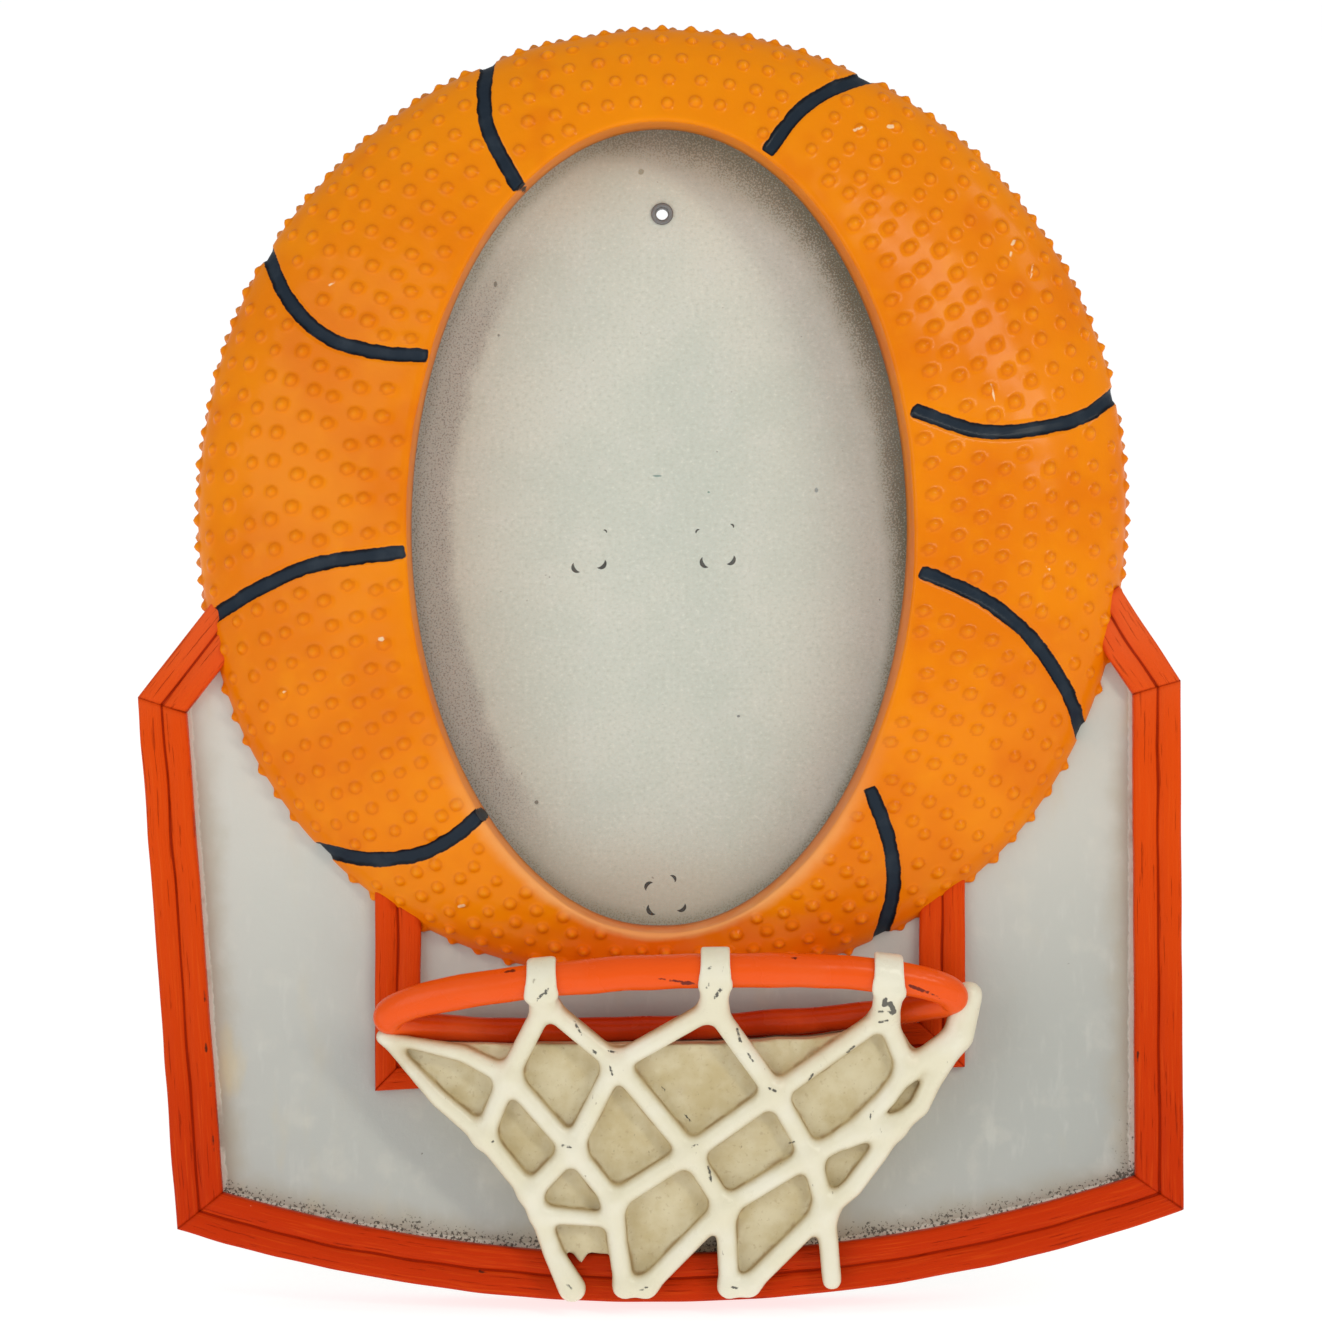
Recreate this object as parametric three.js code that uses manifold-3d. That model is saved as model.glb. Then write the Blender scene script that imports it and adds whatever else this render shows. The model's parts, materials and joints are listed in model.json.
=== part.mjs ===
// Ball-and-hoop tabletop photo frame: a cast and painted front, a glazed oval window,
// a chipboard back held by turn buttons, and an easel leg on a pinned strap hinge.
//
// The frame is drawn upright in its own board axes, x to the right, y to the back and z up, with
// y = 0 on the back face of the casting and z = 0 at its lowest edge. The whole frame is then
// leant back on its leg. Lengths are in millimetres.

import * as THREE from 'three';
import { mergeVertices } from 'three/addons/utils/BufferGeometryUtils.js';
import Module from 'manifold-3d';

const wasm = await Module();
wasm.setup();

// ---------------------------------------------------------------- driving dimensions

const GAP = 0.3;                                   // clearance between pieces that touch
const LEAN = THREE.MathUtils.degToRad(14);         // how far the standing frame leans back
const LEG_OPENING = THREE.MathUtils.degToRad(24);  // angle of the leg to the back, ribbon taut

const WINDOW = { x: 0, z: 142.1, halfWidth: 46.1, halfHeight: 74.1, exponent: 2 };
const BALL = { x: 0.3, z: 146.5, halfWidth: 85.4, halfHeight: 87.6, exponent: 2.2 };
const BALL_WALL = 6;                               // upright edge behind the dome
const BALL_RISE = 22;                              // height of the dome above that edge
const LIP = 1.8;                                   // rounding of the window's front edge
const REBATE = { margin: 4.9, depth: 6.3 };        // step behind the window for the glass

const BOARD = {
  left: -96.1, lowerLeft: -88.8, upperLeftHeight: 111.1,
  right: 95.6, lowerRight: 96.1, upperRightHeight: 114.3,
  shoulderLeft: { x: -80.7, z: 130.8 }, shoulderRight: { x: 84.2, z: 131.6 },
  sweepRadius: 290, sweepX: -1.5,                  // the round bottom edge
};
const PANEL_DEPTH = 7;
const RAIL = { width: 8.8, depth: 10.5 };

const TARGET = { left: -52.5, right: 56, base: 38.8, slope: 0.04, width: 8.4, top: 82, depth: 2.2 };

const HOOP = {
  x: 1.9, halfWidth: 51.4, z: 54.5, slope: 0.038,
  frontRise: 7, backDrop: 4, frontY: -27, backY: -12.2,
  frontRadius: 3.2, backRadius: 2.3,
};

const NET = { bottomDepth: 14, topDepth: 25, top: 47.2, sideLoss: 0.42 };
const LOOPS = [-21.6, 9.8, 41.8];                  // where the net hangs from the hoop
const LOOP = { width: 4.6, cover: 1.5 };

const GLASS_DEPTH = 2;
const BACK_DEPTH = 3;
const COVER_DEPTH = 1;

const EYELET = { x: 0.3, z: 200.4, hole: 1.1, flange: 2, skin: 0.4 };

const HINGE = { z: 132, pin: 0.8, knuckle: 1.6, plate: 0.6, width: 36, middle: 16, reach: 12 };
const LEG = { topWidth: 40, footWidth: 52, depth: 3, standOff: 0.6, headroom: 2.2 };

const ANCHOR = { x: 1.2, z: 74.7, radius: 4, depth: 0.8 };
const RIBBON = { width: 10, depth: 0.5 };

const BUTTON = { rise: 45, clear: 7, reach: 15, width: 8, depth: 1, boss: 2.9, hole: 1.5 };
const SCREW = { shank: 1.2, head: 2.7, headDepth: 1.6, bite: 5.5, pilot: 1.5 };

// ---------------------------------------------------------------- finishes

const finish = (color, roughness, metalness = 0) => () =>
  new THREE.MeshStandardMaterial({ color, roughness, metalness });

const ballPaint = finish(0xf0930f, 0.42);
const panelPaint = finish(0xbdbeb8, 0.5);
const railPaint = finish(0xdc4416, 0.4);
const netPaint = finish(0xe8e1c2, 0.45);
const clearGlass = finish(0xe8f2ee, 0.05);
const chipboard = finish(0xbcbcae, 0.9);
const blackCard = finish(0x1c1c1e, 0.9);
const steel = finish(0xa9abad, 0.35, 1);
const brass = finish(0xb9984e, 0.35, 1);
const ribbonCloth = finish(0x202022, 0.85);

// ---------------------------------------------------------------- solids

// A geometry as a manifold solid, and back.
function solid(geometry) {
  const plain = geometry.clone();
  plain.deleteAttribute('normal');
  plain.deleteAttribute('uv');
  const merged = mergeVertices(plain, 1e-4);
  return new wasm.Manifold(new wasm.Mesh({
    numProp: 3,
    vertProperties: new Float32Array(merged.attributes.position.array),
    triVerts: new Uint32Array(merged.index.array),
  }));
}

function geometryOf(body) {
  const mesh = body.getMesh();
  const geometry = new THREE.BufferGeometry();
  geometry.setAttribute('position', new THREE.BufferAttribute(mesh.vertProperties, 3));
  geometry.setIndex(new THREE.BufferAttribute(mesh.triVerts, 1));
  geometry.computeVertexNormals();
  return geometry;
}

const cut = (body, tools) => tools.reduce((rest, tool) => rest.subtract(tool), body);
const join = (bodies) => bodies.reduce((whole, body) => whole.add(body));

// An outline in x and z, as [x, z] points, made into a slab from y = back forward to y = front.
function slab(outline, back, front) {
  const shape = new THREE.Shape(outline.map(([x, z]) => new THREE.Vector2(x, z)));
  const geometry = new THREE.ExtrudeGeometry(shape, { depth: back - front, bevelEnabled: false });
  geometry.rotateX(Math.PI / 2);
  geometry.translate(0, back, 0);
  return geometry;
}

function block(x0, x1, y0, y1, z0, z1) {
  const geometry = new THREE.BoxGeometry(x1 - x0, y1 - y0, z1 - z0);
  geometry.translate((x0 + x1) / 2, (y0 + y1) / 2, (z0 + z1) / 2);
  return geometry;
}

// A turned piece on an axis along y: its profile is [radius, y] points.
function turned(profile, x, z, sides = 16) {
  const points = profile.map(([radius, y]) => new THREE.Vector2(radius, y));
  const geometry = new THREE.LatheGeometry(points, sides);
  geometry.translate(x, 0, z);
  return geometry;
}

const rod = (radius, y0, y1, x, z, sides = 12) =>
  turned([[0, y0], [radius, y0], [radius, y1], [0, y1]], x, z, sides);

// A round bar along x.
function crossRod(radius, x0, x1, y, z, sides = 16) {
  const geometry = new THREE.CylinderGeometry(radius, radius, x1 - x0, sides);
  geometry.rotateZ(Math.PI / 2);
  geometry.translate((x0 + x1) / 2, y, z);
  return geometry;
}

// ---------------------------------------------------------------- ovals

// The point of an oval at an angle; the lower half of the ball is a little squarer than an ellipse.
function ovalPoint(oval, angle, grow = 0) {
  const power = Math.sin(angle) < 0 ? 2 / oval.exponent : 1;
  const cos = Math.cos(angle);
  const sin = Math.sin(angle);
  return [
    oval.x + (oval.halfWidth + grow) * Math.sign(cos) * Math.abs(cos) ** power,
    oval.z + (oval.halfHeight + grow) * Math.sign(sin) * Math.abs(sin) ** power,
  ];
}

function ovalOutline(oval, grow, steps) {
  const angle = (i) => (i / steps) * 2 * Math.PI;
  return Array.from({ length: steps }, (_, i) => ovalPoint(oval, angle(i), grow));
}

const OVAL_STEPS = 64;
const rebateOval = (grow) => ovalOutline(WINDOW, REBATE.margin + grow, OVAL_STEPS);

// Depth of the dome in front of the back face, at a point of the ball.
function domeDepth([x, z]) {
  const power = z < BALL.z ? BALL.exponent : 2;
  const across = Math.abs((x - BALL.x) / BALL.halfWidth) ** power;
  const up = Math.abs((z - BALL.z) / BALL.halfHeight) ** power;
  const reach = Math.min(1, (across + up) ** (1 / power));
  return BALL_WALL + BALL_RISE * Math.sqrt(1 - reach ** 2);
}

// A closed ring: section(angle) gives the same number of [x, y, z] points at every angle.
function ring(section, steps) {
  const sections = Array.from({ length: steps }, (_, i) => section((i / steps) * 2 * Math.PI));
  const count = sections[0].length;
  const index = [];
  for (let i = 0; i < steps; i += 1) {
    for (let j = 0; j < count; j += 1) {
      const a = i * count + j;
      const b = i * count + ((j + 1) % count);
      const c = ((i + 1) % steps) * count + j;
      const d = ((i + 1) % steps) * count + ((j + 1) % count);
      index.push(a, b, c, b, d, c);
    }
  }
  const geometry = new THREE.BufferGeometry();
  geometry.setAttribute('position', new THREE.Float32BufferAttribute(sections.flat(2), 3));
  geometry.setIndex(index);
  return geometry;
}

// ---------------------------------------------------------------- ball ring

const DOME_STATIONS = [0.15, 0.35, 0.55, 0.75, 0.9, 0.97];   // from the window to the edge

function ballSection(angle) {
  const inner = ovalPoint(WINDOW, angle);
  const outer = ovalPoint(BALL, angle);
  const step = ovalPoint(WINDOW, angle, REBATE.margin);
  const between = (f) => [inner[0] + f * (outer[0] - inner[0]), inner[1] + f * (outer[1] - inner[1])];
  const at = ([x, z], depth) => [x, -depth, z];
  const lip = between(LIP / Math.hypot(outer[0] - inner[0], outer[1] - inner[1]));
  return [
    at(step, 0),
    at(step, REBATE.depth),
    at(inner, REBATE.depth),
    at(inner, domeDepth(inner) - LIP),
    at(lip, domeDepth(lip)),
    ...DOME_STATIONS.map((f) => at(between(f), domeDepth(between(f)))),
    at(outer, BALL_WALL),
    at(outer, 0),
  ];
}

const buttonPlaces = [];
for (const side of [-1, 1]) {
  for (const level of [1, -1]) {
    const rise = BUTTON.rise / (WINDOW.halfHeight + REBATE.margin);
    const edge = (WINDOW.halfWidth + REBATE.margin) * Math.sqrt(1 - rise ** 2);
    buttonPlaces.push({ side, x: side * (edge + BUTTON.clear), z: WINDOW.z + level * BUTTON.rise });
  }
}

const pilotHoles = buttonPlaces.map(({ x, z }) =>
  solid(rod(SCREW.pilot, -SCREW.bite - GAP, 1, x, z)));
const ballRing = cut(solid(ring(ballSection, 72)), pilotHoles);

// Room for the ball in everything that is fitted round it.
const ballRoom = solid(slab(ovalOutline(BALL, GAP, 72), 5, -40));

// ---------------------------------------------------------------- backboard and its border

const sweepHeight = (x, radius) => BOARD.sweepRadius - Math.sqrt(radius ** 2 - (x - BOARD.sweepX) ** 2);

const cornerPoints = [
  [BOARD.shoulderLeft.x, BOARD.shoulderLeft.z],
  [BOARD.left, BOARD.upperLeftHeight],
  [BOARD.lowerLeft, sweepHeight(BOARD.lowerLeft, BOARD.sweepRadius)],
  [BOARD.lowerRight, sweepHeight(BOARD.lowerRight, BOARD.sweepRadius)],
  [BOARD.right, BOARD.upperRightHeight],
  [BOARD.shoulderRight.x, BOARD.shoulderRight.z],
];

// The line through two points, moved to its left by a distance, as { point, along }.
function offsetLine([x0, z0], [x1, z1], distance) {
  const length = Math.hypot(x1 - x0, z1 - z0);
  const along = [(x1 - x0) / length, (z1 - z0) / length];
  return { point: [x0 - along[1] * distance, z0 + along[0] * distance], along };
}

function crossing(a, b) {
  const det = a.along[0] * b.along[1] - a.along[1] * b.along[0];
  const dx = b.point[0] - a.point[0];
  const dz = b.point[1] - a.point[1];
  const t = (dx * b.along[1] - dz * b.along[0]) / det;
  return [a.point[0] + t * a.along[0], a.point[1] + t * a.along[1]];
}

// Where a side line meets the round bottom edge moved in by a distance.
function sweepCrossing(line, distance) {
  const radius = BOARD.sweepRadius - distance;
  let [x, z] = line.point;
  for (let i = 0; i < 20; i += 1) {
    z = sweepHeight(x, radius);
    x = line.point[0] + ((z - line.point[1]) / line.along[1]) * line.along[0];
  }
  return [x, z];
}

// The six corners of the outline moved in by a distance; corners 2 and 3 end the round bottom.
function insetCorners(distance) {
  const [a, b, c, d, e, f] = cornerPoints;
  const upperLeft = offsetLine(a, b, distance);
  const left = offsetLine(b, c, distance);
  const right = offsetLine(d, e, distance);
  const upperRight = offsetLine(e, f, distance);
  return [
    upperLeft.point,
    crossing(upperLeft, left),
    sweepCrossing(left, distance),
    sweepCrossing(right, distance),
    crossing(right, upperRight),
    [f[0] + upperRight.point[0] - e[0], f[1] + upperRight.point[1] - e[1]],
  ];
}

function sweepPoints(from, to, radius, steps) {
  const x = (i) => from + (to - from) * (i / steps);
  return Array.from({ length: steps + 1 }, (_, i) => [x(i), sweepHeight(x(i), radius)]);
}

const SWEEP_STEPS = 20;
const outerCorners = insetCorners(0);
const innerCorners = insetCorners(RAIL.width);
const panelCorners = insetCorners(RAIL.width + GAP);

// A thin slab on the mitre line from an outer corner to its inner corner.
function mitreGap([x0, z0], [x1, z1]) {
  const length = Math.hypot(x1 - x0, z1 - z0);
  const [nx, nz] = [(-(z1 - z0) / length) * (GAP / 2), ((x1 - x0) / length) * (GAP / 2)];
  const [ex, ez] = [(x1 - x0) / length, (z1 - z0) / length];
  const outline = [
    [x0 - ex + nx, z0 - ez + nz], [x0 - ex - nx, z0 - ez - nz],
    [x1 + ex - nx, z1 + ez - nz], [x1 + ex + nx, z1 + ez + nz],
  ];
  return solid(slab(outline, 5, -40));
}

const mitres = [1, 2, 3, 4].map((i) => mitreGap(outerCorners[i], innerCorners[i]));

const straightRail = (i) => [outerCorners[i], outerCorners[i + 1], innerCorners[i + 1], innerCorners[i]];
const sweptRail = [
  ...sweepPoints(outerCorners[2][0], outerCorners[3][0], BOARD.sweepRadius, SWEEP_STEPS),
  ...sweepPoints(innerCorners[3][0], innerCorners[2][0], BOARD.sweepRadius - RAIL.width, SWEEP_STEPS),
];
const railOutlines = {
  upper_left_rail: straightRail(0),
  left_rail: straightRail(1),
  lower_rail: sweptRail,
  right_rail: straightRail(3),
  upper_right_rail: straightRail(4),
};

const panelOutline = [
  panelCorners[0],
  panelCorners[1],
  ...sweepPoints(panelCorners[2][0], panelCorners[3][0], BOARD.sweepRadius - RAIL.width - GAP, SWEEP_STEPS),
  panelCorners[4],
  panelCorners[5],
];
const panel = solid(slab(panelOutline, 0, -PANEL_DEPTH)).subtract(ballRoom);

// ---------------------------------------------------------------- target square

const targetBack = -PANEL_DEPTH - GAP;
const targetFront = targetBack - TARGET.depth;
const targetBase = (x) => TARGET.base + TARGET.slope * (x - TARGET.left);
const innerLeft = TARGET.left + TARGET.width;
const innerRight = TARGET.right - TARGET.width;
const targetOutlines = {
  target_left_rail: [
    [TARGET.left, targetBase(TARGET.left)], [innerLeft, targetBase(innerLeft) + TARGET.width],
    [innerLeft, TARGET.top], [TARGET.left, TARGET.top],
  ],
  target_lower_rail: [
    [TARGET.left, targetBase(TARGET.left)], [TARGET.right, targetBase(TARGET.right)],
    [innerRight, targetBase(innerRight) + TARGET.width], [innerLeft, targetBase(innerLeft) + TARGET.width],
  ],
  target_right_rail: [
    [TARGET.right, targetBase(TARGET.right)], [TARGET.right, TARGET.top],
    [innerRight, TARGET.top], [innerRight, targetBase(innerRight) + TARGET.width],
  ],
};
const targetMitres = [
  mitreGap(targetOutlines.target_left_rail[0], targetOutlines.target_left_rail[1]),
  mitreGap(targetOutlines.target_right_rail[0], targetOutlines.target_right_rail[3]),
];

// ---------------------------------------------------------------- hoop

const hoopMiddleY = (HOOP.frontY + HOOP.backY) / 2;
const hoopHalfDepth = (HOOP.backY - HOOP.frontY) / 2;

// The middle of the hoop's bar; sin > 0 is its front half.
function hoopPoint(angle) {
  const sin = Math.sin(angle);
  const x = HOOP.x + HOOP.halfWidth * Math.cos(angle);
  const lift = sin > 0 ? HOOP.frontRise * sin : HOOP.backDrop * sin;
  return new THREE.Vector3(x, hoopMiddleY - hoopHalfDepth * sin, HOOP.z + HOOP.slope * x + lift);
}

function hoopRing(grow, steps = 56, sides = 10) {
  const nudge = 1e-3;
  return ring((angle) => {
    const middle = hoopPoint(angle);
    const along = hoopPoint(angle + nudge).sub(hoopPoint(angle - nudge)).normalize();
    const outward = new THREE.Vector3(0, 0, 1).cross(along).normalize();
    const up = along.clone().cross(outward);
    const share = (1 + Math.sin(angle)) / 2;
    const radius = THREE.MathUtils.lerp(HOOP.backRadius, HOOP.frontRadius, share) + grow;
    return Array.from({ length: sides }, (_, j) => {
      const turn = (j / sides) * 2 * Math.PI;
      const offset = outward.clone().multiplyScalar(radius * Math.cos(turn));
      offset.addScaledVector(up, radius * Math.sin(turn));
      return middle.clone().add(offset).toArray();
    });
  }, steps);
}

// ---------------------------------------------------------------- net

// Depth of the net in front of the board's back face: it hangs in a belly from the hoop.
function netDepth(x, z) {
  const height = THREE.MathUtils.clamp(z / NET.top, 0, 1);
  const belly = 1 - NET.sideLoss * (x / HOOP.halfWidth) ** 2;
  return NET.bottomDepth + (NET.topDepth - NET.bottomDepth) * height * belly;
}

const netOutline = [
  [-52, 47.6], [-46, 41], [-40, 36], [-33.5, 27.5], [-26.5, 17.5], [-22, 8],
  [-18.5, 1], [-13.5, 0.6], [-11, 7.5], [-7.5, 1], [-2.5, 0.6], [4.8, 8],
  [11.5, 1], [17, 0.8], [22.5, 7.5], [28.5, 2.2], [32.5, 2.2], [34.5, 12],
  [40.5, 21], [44, 30], [50, 39], [57.5, 52], [54, 53.5], [49, 49.8],
  [41, 47.2], [20, 46.6], [0, 46.4], [-20, 46.2], [-40, 46.6],
];

const netBack = -RAIL.depth - GAP;

function netBody() {
  const geometry = slab(netOutline, netBack, netBack - 1);
  const position = geometry.attributes.position;
  for (let i = 0; i < position.count; i += 1) {
    if (position.getY(i) < netBack - 0.5) {
      position.setY(i, -netDepth(position.getX(i), position.getZ(i)));
    }
  }
  return solid(geometry);
}

// A loop that runs up the front of the net and over the hoop: its side view is extruded along x.
function netLoop(x) {
  const angle = Math.acos((x - HOOP.x) / HOOP.halfWidth);
  const { y, z } = hoopPoint(angle);
  const reach = HOOP.frontRadius + LOOP.cover;
  const side = [
    [y - reach, z - 3], [y - reach + 1, z + reach - 1], [y + reach - 1, z + reach - 1],
    [y + reach, z], [y + reach, NET.top - 6], [y, NET.top - 8], [y - 1, NET.top],
  ];
  const shape = new THREE.Shape(side.map(([sy, sz]) => new THREE.Vector2(sy, sz)));
  const geometry = new THREE.ExtrudeGeometry(shape, { depth: LOOP.width, bevelEnabled: false });
  geometry.rotateX(Math.PI / 2);
  geometry.rotateZ(Math.PI / 2);
  geometry.translate(x - LOOP.width / 2, 0, 0);
  return solid(geometry);
}

const net = join([netBody(), ...LOOPS.map(netLoop)]).subtract(solid(hoopRing(GAP)));

// ---------------------------------------------------------------- glass, back and eyelet

const glassBack = -REBATE.depth + GAP + GLASS_DEPTH;
const backFront = -BACK_DEPTH + GAP;
const coverFront = backFront + BACK_DEPTH + GAP;
const coverBack = coverFront + COVER_DEPTH;

const eyeletHole = solid(rod(EYELET.hole + EYELET.skin + GAP, -8, 5, EYELET.x, EYELET.z, 16));
const glass = slab(rebateOval(-GAP), glassBack, glassBack - GLASS_DEPTH);
const backBoard = solid(slab(rebateOval(-GAP), backFront + BACK_DEPTH, backFront)).subtract(eyeletHole);
const backCover = solid(slab(rebateOval(-2 * GAP), coverBack, coverFront)).subtract(eyeletHole);

const eyeletFront = backFront - GAP;
const eyeletBack = coverBack + GAP;
const eyelet = turned([
  [EYELET.hole, eyeletFront - EYELET.skin], [EYELET.flange, eyeletFront - EYELET.skin],
  [EYELET.flange, eyeletFront], [EYELET.hole + EYELET.skin, eyeletFront],
  [EYELET.hole + EYELET.skin, eyeletBack], [EYELET.flange, eyeletBack],
  [EYELET.flange, eyeletBack + EYELET.skin], [EYELET.hole, eyeletBack + EYELET.skin],
  [EYELET.hole, eyeletFront - EYELET.skin],
], EYELET.x, EYELET.z, 20);

// ---------------------------------------------------------------- easel hinge and leg

// The hinge and leg are drawn about the hinge axis, which is y = 0, z = 0 here, with the leg shut.
const hingeY = coverBack + GAP + HINGE.knuckle;
const half = HINGE.width / 2;
const middle = HINGE.middle / 2;
const pinRoom = solid(crossRod(HINGE.pin + GAP, -half - 2, half + 2, 0, 0));
const knuckle = (x0, x1) => solid(crossRod(HINGE.knuckle, x0, x1, 0, 0));
const leafStep = HINGE.knuckle + GAP + 0.3;

const fixedLeafY = [-HINGE.knuckle, -HINGE.knuckle + HINGE.plate];
const fixedLeaf = join([
  knuckle(-half, -middle - GAP),
  knuckle(middle + GAP, half),
  solid(block(-half, -middle - GAP, ...fixedLeafY, 0, leafStep + 0.5)),
  solid(block(middle + GAP, half, ...fixedLeafY, 0, leafStep + 0.5)),
  solid(block(-half, half, ...fixedLeafY, leafStep, HINGE.reach)),
]).subtract(pinRoom);

const movingLeafY = [LEG.standOff - GAP - HINGE.plate, LEG.standOff - GAP];
const movingLeaf = join([
  knuckle(-middle, middle),
  solid(block(-middle, middle, ...movingLeafY, -leafStep - 0.5, 0)),
  solid(block(-half, half, ...movingLeafY, -HINGE.reach, -leafStep)),
]).subtract(pinRoom);

const hingePin = crossRod(HINGE.pin, -half - 1, half + 1, 0, 0);

// The leg's inner bottom edge meets the table when the frame leans back and the leg is open.
const stance = LEG_OPENING - LEAN;
const drop = HINGE.z * Math.cos(LEAN) - hingeY * Math.sin(LEAN);
const footRise = (y) => -(drop + y * Math.sin(stance)) / Math.cos(stance);

function legGeometry() {
  const inner = LEG.standOff;
  const outer = LEG.standOff + LEG.depth;
  const foot = footRise(inner);
  const front = [
    [-LEG.topWidth / 2, -LEG.headroom], [LEG.topWidth / 2, -LEG.headroom],
    [LEG.footWidth / 2, foot], [-LEG.footWidth / 2, foot],
  ];
  const geometry = slab(front, outer, inner);
  const position = geometry.attributes.position;
  for (let i = 0; i < position.count; i += 1) {
    if (position.getZ(i) < foot / 2) position.setZ(i, footRise(position.getY(i)));
  }
  return geometry;
}

// ---------------------------------------------------------------- stay ribbon

// The two anchors, as plain studs: one on the cover and one as far down the leg's inner face.
const boardAnchor = rod(ANCHOR.radius, coverBack + GAP, coverBack + GAP + ANCHOR.depth, ANCHOR.x, ANCHOR.z);
const anchorDrop = HINGE.z - ANCHOR.z;
const legAnchorBack = LEG.standOff - GAP;
const legAnchor = rod(ANCHOR.radius, legAnchorBack - ANCHOR.depth, legAnchorBack, ANCHOR.x, -anchorDrop);

// The taut ribbon between the anchors' faces, in board axes.
function ribbonGeometry() {
  const start = new THREE.Vector3(ANCHOR.x, coverBack + 2 * GAP + ANCHOR.depth, ANCHOR.z);
  const end = new THREE.Vector3(ANCHOR.x, legAnchorBack - ANCHOR.depth - GAP, -anchorDrop);
  end.applyAxisAngle(new THREE.Vector3(1, 0, 0), LEG_OPENING);
  end.add(new THREE.Vector3(0, hingeY, HINGE.z));
  const run = end.clone().sub(start);
  const trim = RIBBON.depth;
  const geometry = new THREE.BoxGeometry(RIBBON.width, run.length() - 2 * trim, RIBBON.depth);
  geometry.rotateX(Math.atan2(run.z, run.y));
  geometry.translate(...start.clone().add(end).multiplyScalar(0.5).toArray());
  return geometry;
}

// ---------------------------------------------------------------- turn buttons and screws

const buttonFront = coverBack + GAP;

// A stamped strip with a boss that stands it off the casting, drawn about its own screw.
function turnButton() {
  const strip = block(0, BUTTON.reach, buttonFront, buttonFront + BUTTON.depth, -BUTTON.width / 2, BUTTON.width / 2);
  const head = rod(BUTTON.width / 2, buttonFront, buttonFront + BUTTON.depth, 0, 0, 20);
  const boss = rod(BUTTON.boss, GAP, buttonFront + 0.1, 0, 0, 20);
  const hole = rod(BUTTON.hole, -1, buttonFront + BUTTON.depth + 1, 0, 0);
  return join([solid(strip), solid(head), solid(boss)]).subtract(solid(hole));
}

function screw() {
  const seat = buttonFront + BUTTON.depth + GAP;
  return turned([
    [0, -SCREW.bite], [SCREW.shank, -SCREW.bite + 1.5], [SCREW.shank, seat], [SCREW.head, seat],
    [SCREW.head * 0.8, seat + SCREW.headDepth * 0.7], [0, seat + SCREW.headDepth],
  ], 0, 0, 14);
}

// ---------------------------------------------------------------- assembly

const toy = new THREE.Group();
toy.rotation.x = -LEAN;

function addPiece(group, name, geometry, material) {
  const mesh = new THREE.Mesh(geometry, material());
  mesh.name = name;
  group.add(mesh);
  return mesh;
}

addPiece(toy, 'ball_ring', geometryOf(ballRing), ballPaint);
addPiece(toy, 'backboard_panel', geometryOf(panel), panelPaint);
for (const [name, outline] of Object.entries(railOutlines)) {
  const rail = cut(solid(slab(outline, 0, -RAIL.depth)), [ballRoom, ...mitres]);
  addPiece(toy, name, geometryOf(rail), railPaint);
}
for (const [name, outline] of Object.entries(targetOutlines)) {
  const rail = cut(solid(slab(outline, targetBack, targetFront)), [ballRoom, ...targetMitres]);
  addPiece(toy, name, geometryOf(rail), railPaint);
}
addPiece(toy, 'hoop', hoopRing(0), railPaint);
addPiece(toy, 'net', geometryOf(net), netPaint);
addPiece(toy, 'glass_pane', glass, clearGlass);
addPiece(toy, 'back_board', geometryOf(backBoard), chipboard);
addPiece(toy, 'back_cover', geometryOf(backCover), blackCard);
addPiece(toy, 'hanging_eyelet', eyelet, steel);
addPiece(toy, 'ribbon_anchor_board', boardAnchor, steel);
addPiece(toy, 'stay_ribbon', ribbonGeometry(), ribbonCloth);

buttonPlaces.forEach(({ side, x, z }, i) => {
  const button = addPiece(toy, `turn_button_${i + 1}`, geometryOf(turnButton()), brass);
  button.position.set(x, 0, z);
  button.rotation.y = side > 0 ? Math.PI : 0;
  const fastener = addPiece(toy, `turn_button_screw_${i + 1}`, screw(), steel);
  fastener.position.set(x, 0, z);
});

const hinge = new THREE.Group();
hinge.position.set(0, hingeY, HINGE.z);
toy.add(hinge);
addPiece(hinge, 'hinge_fixed_leaf', geometryOf(fixedLeaf), steel);
addPiece(hinge, 'hinge_pin', hingePin, steel);

const leg = new THREE.Group();
leg.rotation.x = LEG_OPENING;
hinge.add(leg);
addPiece(leg, 'hinge_moving_leaf', geometryOf(movingLeaf), steel);
addPiece(leg, 'easel_leg', legGeometry(), blackCard);
addPiece(leg, 'ribbon_anchor_leg', legAnchor, steel);

// The part's origin is under the middle of the leant frame, on the table.
const part = new THREE.Group();
part.add(toy);
const extent = new THREE.Box3().setFromObject(part, true);
const centre = extent.getCenter(new THREE.Vector3());
toy.position.set(-centre.x, -centre.y, -extent.min.z);

export default part;
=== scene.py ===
"""Ball-and-hoop tabletop photo frame: the finished looks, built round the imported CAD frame.

The frame is drawn in its own board axes, in millimetres, with x to the right, y to the back and
z up the board, y = 0 on the back of the casting. Every piece is then leant back onto its leg.
"""
import json
import math

import bpy
import numpy as np
from mathutils import Matrix, Vector, noise


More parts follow.
